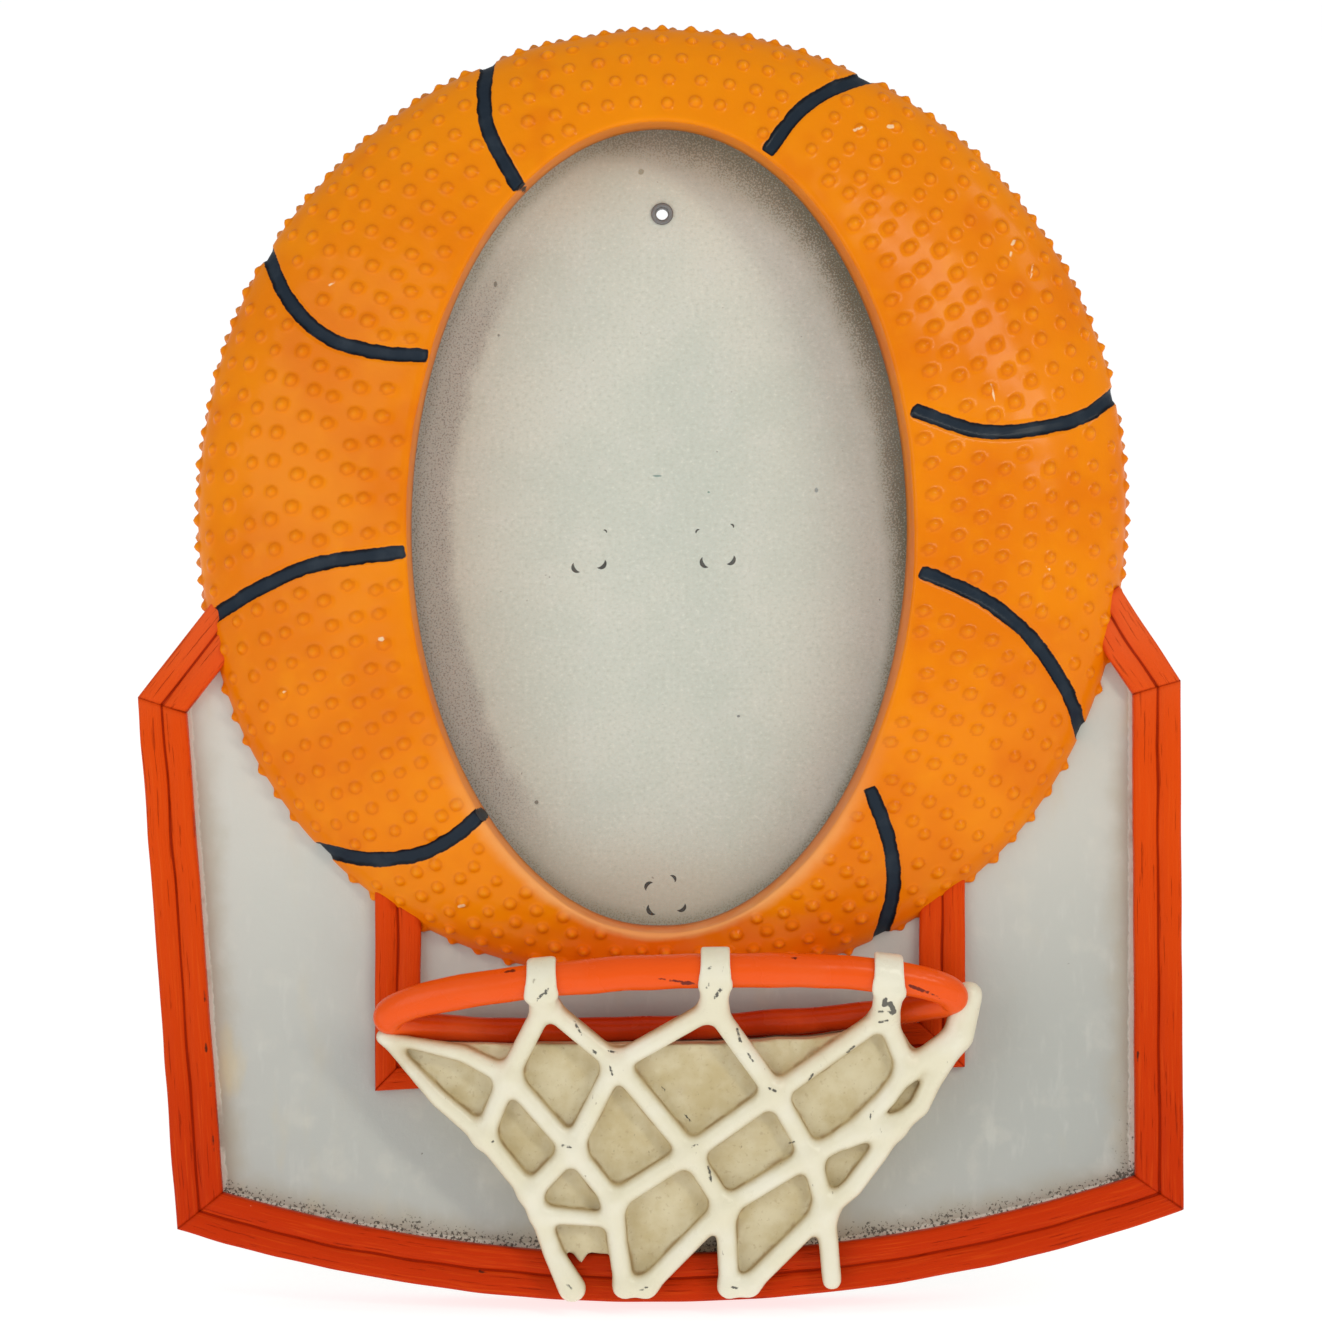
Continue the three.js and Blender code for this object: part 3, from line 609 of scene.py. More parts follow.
def panel_outline():
    """The panel runs on a little under the rails and under the ball."""
    under_rail, under_ball = 1.5, 3.0
    corners = inset_corners(RAIL_WIDTH - under_rail)
    arc = oval(BALL_MIDDLE, BALL_HALF, np.linspace(0, -math.pi, 181), -under_ball, BALL_SQUARENESS)
    for start, end in ((corners[0], corners[1]), (corners[4], corners[5])):
        along = end - start
        inside = along[0] * (arc[:, 1] - start[1]) - along[1] * (arc[:, 0] - start[0]) > 0
        arc = arc[inside]
    foot = sweep(corners[2][0], corners[3][0], RAIL_WIDTH - under_rail, 60)
    return np.vstack([[corners[1]], foot, [corners[4]], arc])


def panel_finish():
    paint = Finish("grey panel paint", (0.53, 0.535, 0.48), 0.42)
    place = paint.board()
    x, z = paint.part_of(place, "X"), paint.part_of(place, "Z")
    broad, mid, fine = paint.noise(place, 34, 3), paint.noise(place, 7, 4), paint.noise(place, 1.2, 3)
    grain = paint.noise(place, 0.55, 2, 0.7)
    light = paint.step(z + 0.25 * abs(x) + 24 * (broad - 0.5), 40, 130)
    grey = paint.blend(light, (0.46, 0.465, 0.43), (0.63, 0.63, 0.57))
    cool = paint.step(x + 40 * (broad - 0.5), 30, 90) * paint.step(z, 95, 30)
    grey = paint.blend(cool * 0.6, grey, (0.38, 0.40, 0.385))
    grey = paint.blend(paint.step(x, 40, 90) * 0.25, grey, (0.40, 0.41, 0.36))
    grey = paint.blend(paint.step(mid, 0.52, 0.72) * 0.25, grey, (0.64, 0.62, 0.54))
    streaks = paint.noise(paint.stretched(place, (1, 1, 0.25)), 2.2, 3)
    grey = paint.blend(paint.step(streaks, 0.55, 0.75) * 0.2, grey, (0.66, 0.66, 0.60))
    # the brown wash along the rails
    off = x - SWEEP_X
    foot = z - SWEEP_RADIUS + (SWEEP_RADIUS ** 2 - off * off) ** 0.5 - RAIL_WIDTH
    left, right = x + 86.5 - (100 - z) * 0.075, 87 - x
    side = Value.maths("MINIMUM", left, right)
    rail_near = Value.maths("MINIMUM", foot, side)
    near_rail = paint.step(rail_near + 7 * (mid - 0.5), 6.5, 0.2)
    grey = paint.blend(near_rail * (0.15 + 0.35 * paint.step(z, 112, 90)), grey, (0.38, 0.32, 0.20))
    stain = paint.step(paint.noise(paint.stretched(place, (1, 1, 0.35)), 11, 3), 0.56, 0.72)
    yellow = stain * (0.2 + 0.6 * paint.step(side + 5 * (mid - 0.5), 16, 5))
    grey = paint.blend(yellow, grey, (0.60, 0.50, 0.30))
    # a ragged pale edge where the brush met the rails, and black dirt caught in the foot of it
    edge = rail_near + 1.1 * (mid - 0.5) + 0.8 * (fine - 0.5)
    pale = paint.step(edge, 1.0, 0.6) * paint.step(mid, 0.3, 0.5)
    grey = paint.blend(pale * 0.75, grey, (0.72, 0.69, 0.60))
    lower_right = paint.step(right, 7, 0) * paint.step(z, 60, 15)
    dirty = paint.step(foot + 6 * (mid - 0.5), 4.5, 0.3) + lower_right * 0.7
    specks = paint.step(grain + 0.2 * dirty, 0.70, 0.78) * paint.step(dirty, 0.05, 0.6)
    grey = paint.blend(specks * 0.9, grey, (0.06, 0.05, 0.035))
    stray = paint.step(paint.noise(place, 1.4, 1), 0.79, 0.82)
    grey = paint.blend(stray * 0.7, grey, (0.14, 0.12, 0.09))
    bare_back, resin = bare_resin(paint, place, mid, -1, -0.6)
    paint.set("Base Color", paint.blend(bare_back, grey, resin))
    paint.set("Roughness", 0.38 + 0.2 * mid + 0.25 * bare_back)
    paint.bump(broad * 3 + mid * 0.8 + fine * 0.3 + pale * 0.8, 0.16)
    return paint


panel_points, panel_faces = prism(panel_outline(), PANEL_BACK, -PANEL_DEPTH)
panel = add_piece("grey_panel", panel_points, panel_faces, "frame", panel_finish(), "panel_paint",
                  soften=False)
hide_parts("backboard_panel")


# ------------------------------------------------------------------ border and target rails
# The border and the target square are cast to look like two thin planks laid side by side, with
# a groove between them. They are painted red-orange, with dark red left in the grooves.
PLANK_GROOVE, PLANK_GROOVE_DEPTH, PLANK_EDGE = 0.42, 0.55, 0.9
RAIL_BACK = 0.15                                  # how far the backs of the rails stand in
TARGET_LEFT, TARGET_RIGHT, TARGET_BASE, TARGET_SLOPE = -52.5, 56, 38.8, 0.04
TARGET_WIDTH, TARGET_TOP, TARGET_DEPTH = 8.4, 78, 2.5
RAIL_CHIPS = [                                    # x, z, length, the way it runs and width
    (-83.6, 46.7, 1.4, 95, 0.7), (-82.4, 29.2, 3.2, 95, 0.9), (-82.6, 40.2, 1.4, 95, 0.3),
    (-81.2, 14.4, 1.4, -10, 0.8), (-83.7, 56.4, 2.6, 95, 0.25), (75.8, 13.6, 1.0, 20, 0.5),
    (-63.2, 9.4, 1.5, -14, 0.4), (-32.6, 5.6, 1.1, -8, 0.4), (87.6, 45.2, 1.6, 88, 0.3),
]


def plank_profile(width, depth, base):
    """Across the rail: distance from the outer edge and depth, over both planks."""
    half, groove = width / 2, PLANK_GROOVE / 2
    turns = np.linspace(0.2, 1, 4) * math.pi / 2
    corner = [(PLANK_EDGE * (1 - math.cos(turn)), depth - PLANK_EDGE * (1 - math.sin(turn)))
              for turn in turns]
    profile = [(0, base), (0, depth - PLANK_EDGE * 1.3)]
    profile += [(across, high - 0.15) for across, high in corner]
    profile += [(half * 0.5, depth), (half - groove * 2.2, depth - 0.05), (half - groove, depth - 0.35),
                (half - groove * 0.4, depth - PLANK_GROOVE_DEPTH),
                (half + groove * 0.4, depth - PLANK_GROOVE_DEPTH),
                (half + groove, depth - 0.35), (half + groove * 2.2, depth - 0.05), (half * 1.5, depth)]
    profile += [(width - across, high) for across, high in corner[::-1]]
    return np.array(profile + [(width, depth - PLANK_EDGE * 1.3), (width, base)])


def length_along(line):
    """The distance run from the start of a line to each of its points."""
    return np.concatenate([[0], np.cumsum(np.linalg.norm(np.diff(line, axis=0), axis=1))])


def make_rail(outer, inner, width, depth, base, seed):
    """Points, faces and traits of a grooved rail between its outer and inner edge lines."""
    profile = plank_profile(width, depth, base)
    rows, columns = len(outer), len(profile)
    share = (profile[:, 0] / width)[None, :, None]
    place = outer[:, None] * (1 - share) + inner[:, None] * share
    run = length_along((outer + inner) / 2)
    from_end = np.minimum(run, run[-1] - run)
    deep = np.repeat(profile[None, :, 1], rows, 0)
    raised = deep > base + 0.3
    deep = deep - raised * 0.25 * (1 - smooth_step(from_end, 0, 0.7))[:, None]
    points = np.stack([place[..., 0], -deep, place[..., 1]], -1)
    jitter = clouds(points.reshape(-1, 3), 9, seed).reshape(rows, columns)
    lengthwise = np.stack([jitter * 0.22, jitter * 0.18 * raised, jitter * 0.22], -1)
    inside = ((profile[:, 0] > 0.01) & (profile[:, 0] < width - 0.01))[None, :, None]
    points += lengthwise * np.where(inside, 1, 0.45)
    faces = [face[::-1] for face in capped_bar(rows, columns)]
    across = np.repeat(profile[None, :, 0], rows, 0)
    along = np.repeat(run[:, None], columns, 1)
    end = np.repeat(from_end[:, None], columns, 1)
    points = points.reshape(-1, 3)
    return points, faces, {"along": along.ravel(), "across": across.ravel() - width / 2,
                           "from_end": end.ravel(), "mark_distance": marks_near(points, RAIL_CHIPS)}


def rail_finish():
    paint = Finish("red-orange rail paint", (0.72, 0.065, 0.002), 0.36)
    place = paint.board()
    grain_place = paint.node("ShaderNodeCombineXYZ", {}, paint.trait("along") * 0.05,
                             paint.trait("across") * 1.6, paint.part_of(place, "X") * 0.01)
    grain = paint.noise(grain_place, 0.7, 3, 0.65)
    broad, fine = paint.noise(place, 18, 3), paint.noise(place, 1.6, 3)
    height = paint.part_of(place, "Z")
    # painted shade darkens the rails towards the bottom of the board, and painted light lightens them near
    # its top
    red = paint.blend(paint.step(height + 30 * (broad - 0.5), 12, 100), (0.53, 0.030, 0.001),
                      (0.72, 0.066, 0.002))
    red = paint.blend(paint.step(height + 14 * (broad - 0.5), 100, 132) * 0.6, red, (0.82, 0.13, 0.03))
    red = paint.blend(paint.step(grain, 0.5, 0.72) * 0.3, red, (0.80, 0.105, 0.008))
    streak = paint.step(grain, 0.37, 0.31)
    groove = paint.step(abs(paint.trait("across")) + 0.35 * (grain - 0.5), 0.32, 0.1)
    mitre = paint.step(paint.trait("from_end") + 0.3 * (fine - 0.5), 0.3, 0.1)
    dark = Value.maths("MAXIMUM", Value.maths("MAXIMUM", streak * 0.5, groove * 0.8), mitre * 0.5)
    red = paint.blend(dark, red, (0.30, 0.012, 0.001))
    chips = paint.step(paint.trait("mark_distance") + 0.7 * (fine - 0.5), 0.15, -0.1)
    red = paint.blend(chips * 0.9, red, (0.05, 0.014, 0.008))
    worn = paint.step(paint.noise(place, 0.9, 2), 0.81, 0.83)
    red = paint.blend(worn, red, (0.85, 0.55, 0.35))
    bare_back, resin = bare_resin(paint, place, fine)
    paint.set("Base Color", paint.blend(bare_back, red, resin))
    paint.set("Roughness", 0.3 + 0.22 * fine + 0.25 * bare_back)
    paint.set("Specular IOR Level", 0.06)
    paint.bump(grain * 0.8 - streak * 0.4 + fine * 0.2, 0.2)
    return paint


rail_paint = rail_finish()
outer_corners, inner_corners = inset_corners(0), inset_corners(RAIL_WIDTH)


def straight(start, end, spacing=0.9):
    count = max(4, int(np.linalg.norm(np.asarray(end) - start) / spacing))
    return np.linspace(start, end, count)


def add_rail(name, outer_line, inner_line, width, depth, base, seed):
    points, faces, traits = make_rail(outer_line, inner_line, width, depth, base, seed)
    rail = add_piece(f"planked_{name}", points, faces, "frame", rail_paint, "rail_paint", traits)
    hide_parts(name)


BORDER_RAILS = [("upper_left_rail", 0), ("left_rail", 1), ("right_rail", 3), ("upper_right_rail", 4)]
for seed, (name, first) in enumerate(BORDER_RAILS, 3):
    outer_line = straight(outer_corners[first], outer_corners[first + 1])
    inner_line = np.linspace(inner_corners[first], inner_corners[first + 1], len(outer_line))
    add_rail(name, outer_line, inner_line, RAIL_WIDTH, RAIL_DEPTH, RAIL_BACK, seed)

SWEEP_COUNT = 220
outer_line = sweep(outer_corners[2][0], outer_corners[3][0], 0, SWEEP_COUNT)
inner_line = sweep(inner_corners[2][0], inner_corners[3][0], RAIL_WIDTH, SWEEP_COUNT)
add_rail("lower_rail", outer_line, inner_line, RAIL_WIDTH, RAIL_DEPTH, RAIL_BACK, 9)


def target_base(x, lift=0.0):
    return np.array([x, TARGET_BASE + TARGET_SLOPE * (x - TARGET_LEFT) + lift])


inner_left, inner_right = TARGET_LEFT + TARGET_WIDTH, TARGET_RIGHT - TARGET_WIDTH
TARGET_RAILS = {
    "target_left_rail": [(TARGET_LEFT, TARGET_TOP), target_base(TARGET_LEFT),
                         (inner_left, TARGET_TOP), target_base(inner_left, TARGET_WIDTH)],
    "target_lower_rail": [target_base(TARGET_LEFT), target_base(TARGET_RIGHT),
                          target_base(inner_left, TARGET_WIDTH),
                          target_base(inner_right, TARGET_WIDTH)],
    "target_right_rail": [target_base(TARGET_RIGHT), (TARGET_RIGHT, TARGET_TOP),
                          target_base(inner_right, TARGET_WIDTH), (inner_right, TARGET_TOP)],
}
TARGET_SUNK = 0.3                                 # how far they are let into the panel
for seed, (name, corners) in enumerate(TARGET_RAILS.items(), 12):
    outer_line = straight(*corners[:2])
    inner_line = np.linspace(*corners[2:], len(outer_line))
    add_rail(name, outer_line, inner_line, TARGET_WIDTH, PANEL_DEPTH + TARGET_DEPTH,
             PANEL_DEPTH - TARGET_SUNK, seed)


# ------------------------------------------------------------------ hoop
# The hoop is a round bar cast with the board and painted a glossier red-orange. Its front half
# stands well off the board and higher than its back half.
HOOP_X, HOOP_HALF_WIDTH, HOOP_HEIGHT, HOOP_SLOPE = 1.9, 51.4, 54.5, 0.038
HOOP_FRONT_RISE, HOOP_BACK_DROP = 7, 4
HOOP_FRONT_Y, HOOP_BACK_Y = -27, -12.2
HOOP_FRONT_RADIUS, HOOP_BACK_RADIUS = 3.2, 2.3


def hoop_middle(angle):
    """The middle of the bar; angles from 0 to pi are its front half, from right to left."""
    sine = np.sin(angle)
    x = HOOP_X + HOOP_HALF_WIDTH * np.cos(angle)
    y = (HOOP_FRONT_Y + HOOP_BACK_Y) / 2 + (HOOP_FRONT_Y - HOOP_BACK_Y) / 2 * sine
    z = HOOP_HEIGHT + HOOP_SLOPE * x + np.where(sine > 0, HOOP_FRONT_RISE, HOOP_BACK_DROP) * sine
    return np.stack([x, y, z], -1)


HOOP_DENTS = 0.28


def make_hoop(rows=420, sides=36):
    angle = np.linspace(0, 2 * math.pi, rows, endpoint=False)
    middle = hoop_middle(angle)
    along = hoop_middle(angle + 1e-3) - hoop_middle(angle - 1e-3)
    along /= np.linalg.norm(along, axis=1, keepdims=True)
    outward = np.cross([0, 0, 1.0], along)
    outward /= np.linalg.norm(outward, axis=1, keepdims=True)
    up = np.cross(along, outward)
    radius = HOOP_BACK_RADIUS + (HOOP_FRONT_RADIUS - HOOP_BACK_RADIUS) * (1 + np.sin(angle)) / 2
    turn = np.linspace(0, 2 * math.pi, sides, endpoint=False)
    ray = np.cos(turn)[None, :, None] * outward[:, None] + np.sin(turn)[None, :, None] * up[:, None]
    points = middle[:, None] + radius[:, None, None] * ray
    dents = clouds(points.reshape(-1, 3), 7, 21).reshape(rows, sides, 1)
    points = points + ray * dents * HOOP_DENTS
    return points.reshape(-1, 3), grid_faces(rows, sides, wrap_rows=True, wrap_columns=True)


HOOP_CRACKS = [                                   # x, z, length, the way it runs and width
    (1.6, 60.2, 4.6, -8, 0.3), (6.0, 59.5, 4.2, -6, 0.45), (46.8, 58.3, 3.6, -22, 0.5),
    (49.6, 57.2, 2.2, -30, 0.4), (-27.5, 61.6, 2.4, 14, 0.25), (24.2, 64.0, 1.6, 4, 0.3),
]


def hoop_finish():
    paint = Finish("glossy hoop paint", (0.76, 0.07, 0.004), 0.26)
    place = paint.board()
    broad, fine = paint.noise(place, 12, 3), paint.noise(place, 1.5, 3)
    depth = paint.part_of(place, "Y")
    # painted shade: the back half of the bar, behind and under the front half, is mixed darker
    red = paint.blend(paint.step(depth, -22, -12), (0.84, 0.092, 0.004), (0.52, 0.030, 0.002))
    red = paint.blend(paint.step(broad, 0.45, 0.7) * 0.5, red, (0.84, 0.11, 0.015))
    cracks = paint.step(paint.trait("mark_distance") + 0.9 * (fine - 0.5), 0.1, -0.05)
    red = paint.blend(cracks * 0.9, red, (0.10, 0.008, 0.004))
    paint.set("Base Color", red)
    paint.set("Roughness", 0.2 + 0.15 * broad)
    paint.set("Specular IOR Level", 0.2)
    paint.bump(broad + 0.25 * fine, 0.25)
    return paint


hoop_points, hoop_faces = make_hoop()
hoop = add_piece("hoop_bar", hoop_points, hoop_faces, "frame", hoop_finish(), "hoop_paint",
                 {"mark_distance": marks_near(hoop_points, HOOP_CRACKS)})
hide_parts("hoop")


# ------------------------------------------------------------------ net
# The net is cast in relief: thick round cords, webbed where they cross, stand on a recessed skin
# that is glued to the board. Three cords loop over the hoop. It is ivory with an ochre wash, with
# painted shade on the flanks of the cords and at their feet.
NET_BOTTOM_DEPTH, NET_TOP_DEPTH, NET_TOP, NET_SIDE_LOSS = 14, 25, 47.2, 0.42
CORD_RADIUS, SKIN_RECESS, WEBBING = 1.9, 3.3, 1.6
NET_STEP = 0.5                                    # size of the cells that the surface is made from
CORD_REACH = 6                                    # how far round a cord its field is worked out
FIELD_LOW, FIELD_HIGH = np.array([-56.0, -33.0, -1.0]), np.array([62.0, -6.0, 68.0])
STRAND_SIDE, STRAND_RADIUS, STRAND_FOOT_RADIUS = 1.5, 1.35, 1.8
TONGUE_HALF_WIDTH, TONGUE_GAP, TONGUE_HALF_THICK = 2.7, 0.35, 0.75
TONGUE_MIDDLE, TONGUE_HALF_SWEEP = 50, 95         # degrees round the hoop's bar, from its top
KNOTS = {                                         # x and z
    "left tip": (-50.6, 49.3), "left edge": (-40.5, 38.2), "top edge": (-36, 46.4),
    "fork 1": (-20.9, 55.6), "fork 2": (9.6, 55), "fork 3": (40.8, 53.4),
    "a1": (-27.7, 42.3), "a2": (-8.1, 44.8), "a3": (20.8, 39.2), "a4": (45, 43.4),
    "b1": (-32.2, 31.1), "b2": (-16.1, 28.8), "b3": (5.4, 28.2), "b4": (27.4, 27.6),
    "c1": (-23.8, 20.6), "c2": (-8.5, 19.2), "c3": (11.8, 18.1), "c4": (30.2, 17.6),
    "right tip": (56.2, 56.8), "right bend": (54.3, 49.4), "edge 0": (52.2, 45.4),
    "edge 1": (49.4, 41), "edge 2": (47.2, 36.4), "edge 3": (42.8, 32.8), "edge 4": (39.6, 27.8),
    "edge 5": (35, 21.6), "a4 low": (41.2, 38.2), "b4 right": (34.2, 31.2),
    "bar left": (-22.2, 16.8), "bar right": (-10.5, 15.8),
    "d1": (-19.6, 9.4), "tip 1": (-16.2, 2.9), "c2 low": (-7.9, 11.5),
    "tip 2 left": (-6.6, 3.2), "tip 2 right": (-2.6, 3.2),
    "tip 3 left": (12.6, 3.2), "tip 3 right": (16.2, 3.4), "tip 4": (31.4, 4.4),
}
CORDS = [
    "left tip, top edge, a1", "left tip, left edge, b1", "fork 1, a1", "fork 1, a2", "fork 2, a2",
    "fork 2, a3", "fork 3, a3", "fork 3, a4", "right tip, right bend, a4",
    "right tip, right bend, edge 0, edge 1, edge 2, edge 3", "a4, a4 low, b4 right, b4",
    "edge 3, b4 right", "edge 3, edge 4, edge 5, c4", "a1, b1", "a1, b2", "a2, b2", "a2, b3",
    "a3, b3", "a3, b4", "b1, c1", "b2, c1", "b2, c2", "b3, c2", "b3, c3", "b4, c3", "b4, c4",
    "c1, bar left, d1, tip 1", "bar left, bar right", "c2, c2 low, tip 2 left",
    "tip 2 left, tip 2 right", "tip 2 right, c3", "c3, tip 3 left", "tip 3 left, tip 3 right",
    "tip 3 right, c4", "c4, tip 4",
]
SKIN = [(-49.5, 48), (-40.5, 38.2), (-32.2, 31.1), (-23.8, 20.6), (-22.2, 16.8), (-19.6, 9.6),
        (-16.2, 9.4), (-14.6, 7.6), (-13.2, 9.6), (-10.6, 9), (-7.9, 9.2), (-6.6, 3.2), (-2.6, 3.2),
        (5, 11), (11.8, 17.6), (12.4, 10), (13, 3.4), (16, 3.6), (23, 10.6), (30.2, 17.6),
        (35, 21.6), (39.6, 27.8), (42.8, 32.8), (47.2, 36.4), (49.4, 41), (49, 45),
        (46, 47.5), (42.6, 52.4), (37.5, 50.6), (30, 49.4), (15, 48.6), (0, 48.2), (-25, 48),
        (-38, 48.2)]
LOOPS = {"fork 1": -21.6, "fork 2": 9.9, "fork 3": 41.4}
KNOT_RADII = {"left tip": 1.0, "left edge": 1.7, "top edge": 1.6, "right tip": 2.2, "right bend": 2.5,
              "tip 1": 2.6, "tip 4": 1.8, "bar right": 1.5, "bar left": 1.8}
CHIPS = [                                         # x, z, length, the way it runs and width
    (-20.6, 58.2, 0.9, 60, 0.5), (-21.8, 57.1, 1.5, 45, 0.35), (-15.0, 51.3, 2.8, -62, 0.3),
    (-12.0, 46.9, 0.8, -40, 0.4), (-9.0, 43.6, 1.8, -75, 0.35), (-8.6, 46.9, 1.6, -10, 0.3),
    (8.6, 59.2, 1.0, 60, 0.3), (10.4, 57.8, 1.9, 55, 0.55), (8.9, 62.4, 0.8, 15, 0.4),
    (14.2, 50.0, 2.6, -75, 0.35), (16.3, 45.9, 1.8, -55, 0.3), (20.4, 39.9, 1.3, -20, 0.4),
    (40.6, 56.0, 1.2, 75, 0.7), (42.0, 55.0, 1.7, -65, 0.9), (40.0, 54.2, 0.7, 0, 0.5),
    (41.8, 54.0, 0.7, -30, 0.5), (40.5, 52.4, 1.6, 12, 0.3), (34.6, 47.2, 1.6, 45, 0.35),
    (27.4, 42.2, 1.4, 60, 0.3), (38.4, 35.2, 1.5, 70, 0.3), (-17.1, 29.5, 1.6, -5, 0.4),
    (6.2, 29.6, 1.2, 25, 0.3), (9.0, 24.3, 2.7, -78, 0.35), (5.0, 34.4, 1.8, -55, 0.3),
    (0.6, 39.8, 1.1, -50, 0.3), (13.6, 3.2, 1.1, -10, 0.4), (-16.6, 3.4, 1.4, -45, 0.35),
    (-3.0, 3.0, 1.3, 25, 0.35), (-30.6, 30.2, 0.8, 40, 0.3), (24.0, 30.0, 1.2, 30, 0.3),
]


def crest_depth(x, z):
    """Depth of the tops of the cords: the net hangs in a belly from the hoop."""
    height = np.clip(z / NET_TOP, 0, 1)
    belly = 1 - NET_SIDE_LOSS * (x / HOOP_HALF_WIDTH) ** 2
    over = np.clip((z - NET_TOP) / 8, 0, 1) * np.clip(1 - np.abs(x) / 60, 0, 1)
    return NET_BOTTOM_DEPTH + (NET_TOP_DEPTH - NET_BOTTOM_DEPTH) * height * belly + 4 * over


def knot_point(name):
    x, z = KNOTS[name]
    return np.array([x, CORD_RADIUS - crest_depth(x, z), z])


def hoop_angle(x):
    return np.arccos((x - HOOP_X) / HOOP_HALF_WIDTH)


def net_cords():
    """Every cord as a list of stretches, each with two end points and the radius at each."""
    cords = []
    for cord in CORDS:
        names = cord.split(", ")
        radii = [KNOT_RADII.get(name, CORD_RADIUS) for name in names]
        knots = [knot_point(name) for name in names]
        cords.append(list(zip(knots[:-1], knots[1:], radii[:-1], radii[1:])))
    for fork, x in LOOPS.items():
        bar = hoop_middle(np.array([hoop_angle(x)]))[0]
        for side in (-STRAND_SIDE, STRAND_SIDE):
            under_bar = bar + np.array([side, -HOOP_FRONT_RADIUS * 0.8, -HOOP_FRONT_RADIUS * 0.9])
            foot = knot_point(fork) + np.array([side * 0.5, 0, -0.5])
            cords.append([(under_bar, foot, STRAND_RADIUS, STRAND_FOOT_RADIUS)])
    return cords


def soft_union(first, second, reach):
    """Joins two distance fields with a fillet."""
    mix = np.clip(0.5 + 0.5 * (second - first) / reach, 0, 1)
    return second + (first - second) * mix - reach * mix * (1 - mix)


def tongue_field(places, middle):
    """Distance field of the flat tongue of a loop, bent round the hoop's bar."""
    x = places[..., 0]
    bar = hoop_middle(hoop_angle(x[:, 0, 0]))[:, None, None]
    forward, up = bar[..., 1] - places[..., 1], places[..., 2] - bar[..., 2]
    angle = np.degrees(np.arctan2(forward, up))
    from_bar = np.hypot(forward, up)
    band = np.abs(from_bar - HOOP_FRONT_RADIUS - TONGUE_GAP) - TONGUE_HALF_THICK
    ends = (np.abs(angle - TONGUE_MIDDLE) - TONGUE_HALF_SWEEP) * math.radians(1) * HOOP_FRONT_RADIUS
    widening = 0.5 * smooth_step(angle, 60, 150)
    sides = np.abs(x - middle) - TONGUE_HALF_WIDTH - widening
    corner = 0.35
    outside = np.sqrt(sum(np.maximum(part + corner, 0) ** 2 for part in (band, ends, sides)))
    return outside + np.minimum(np.maximum(np.maximum(band, ends), sides) + corner, 0) - corner


def outline_distance(x, z, outline):
    """Signed distance to a closed outline in x and z, negative inside."""
    places = np.stack([x.ravel(), z.ravel()], -1)
    outline = np.asarray(outline, float)
    nearest = distance_to_route(places, np.vstack([outline, outline[:1]]))
    inside = np.zeros(len(places), bool)
    for (x0, z0), (x1, z1) in zip(outline, np.roll(outline, -1, axis=0)):
        if z0 == z1:
            continue
        beside = (places[:, 1] < z0) != (places[:, 1] < z1)
        inside ^= beside & (places[:, 0] < x0 + (places[:, 1] - z0) / (z1 - z0) * (x1 - x0))
    return np.where(inside, -nearest, nearest).reshape(x.shape)


def net_field():
    """A distance field of the whole net on a grid."""
    axes = [np.arange(a, b, NET_STEP) for a, b in zip(FIELD_LOW, FIELD_HIGH)]
    x, z = np.meshgrid(axes[0], axes[2], indexing="ij")
    flat = np.stack([x, np.zeros_like(x), z], -1).reshape(-1, 3)
    uneven = clouds(flat, 4.5, 31).reshape(x.shape)
    skin_depth = crest_depth(x, z) - SKIN_RECESS + 0.45 * uneven
    edge = outline_distance(x, z, SKIN) + 0.35 * uneven
    y = axes[1][None, :, None]
    front = -y - skin_depth[:, None, :]
    back = y + PANEL_DEPTH - 0.2
    field = np.maximum(np.maximum(edge[:, None, :], front), back)
    cords = np.full(field.shape, FAR)
    for cord in net_cords():
        ends = np.array([point for stretch in cord for point in stretch[:2]])
        box_low = np.maximum(((ends.min(0) - CORD_REACH - FIELD_LOW) / NET_STEP).astype(int), 0)
        box_high = ((ends.max(0) + CORD_REACH - FIELD_LOW) / NET_STEP).astype(int) + 1
        part = tuple(slice(a, b) for a, b in zip(box_low, box_high))
        places = np.stack(np.meshgrid(*[axis[s] for axis, s in zip(axes, part)], indexing="ij"), -1)
        tube = np.full(places.shape[:3], FAR)
        for start, end, first_radius, last_radius in cord:
            along = end - start
            t = np.clip((places - start) @ along / (along @ along), 0, 1)
            away = np.linalg.norm(places - start - t[..., None] * along, axis=-1)
            tube = np.minimum(tube, away - (first_radius + (last_radius - first_radius) * t))
        cords[part] = soft_union(cords[part], tube, WEBBING)
    places = np.stack(np.meshgrid(*axes, indexing="ij"), -1)
    for x in LOOPS.values():
        near = np.abs(axes[0] - x) < 8
        cords[near] = soft_union(cords[near], tongue_field(places[near], x), 0.8)
    return soft_union(cords, field, 1.1)


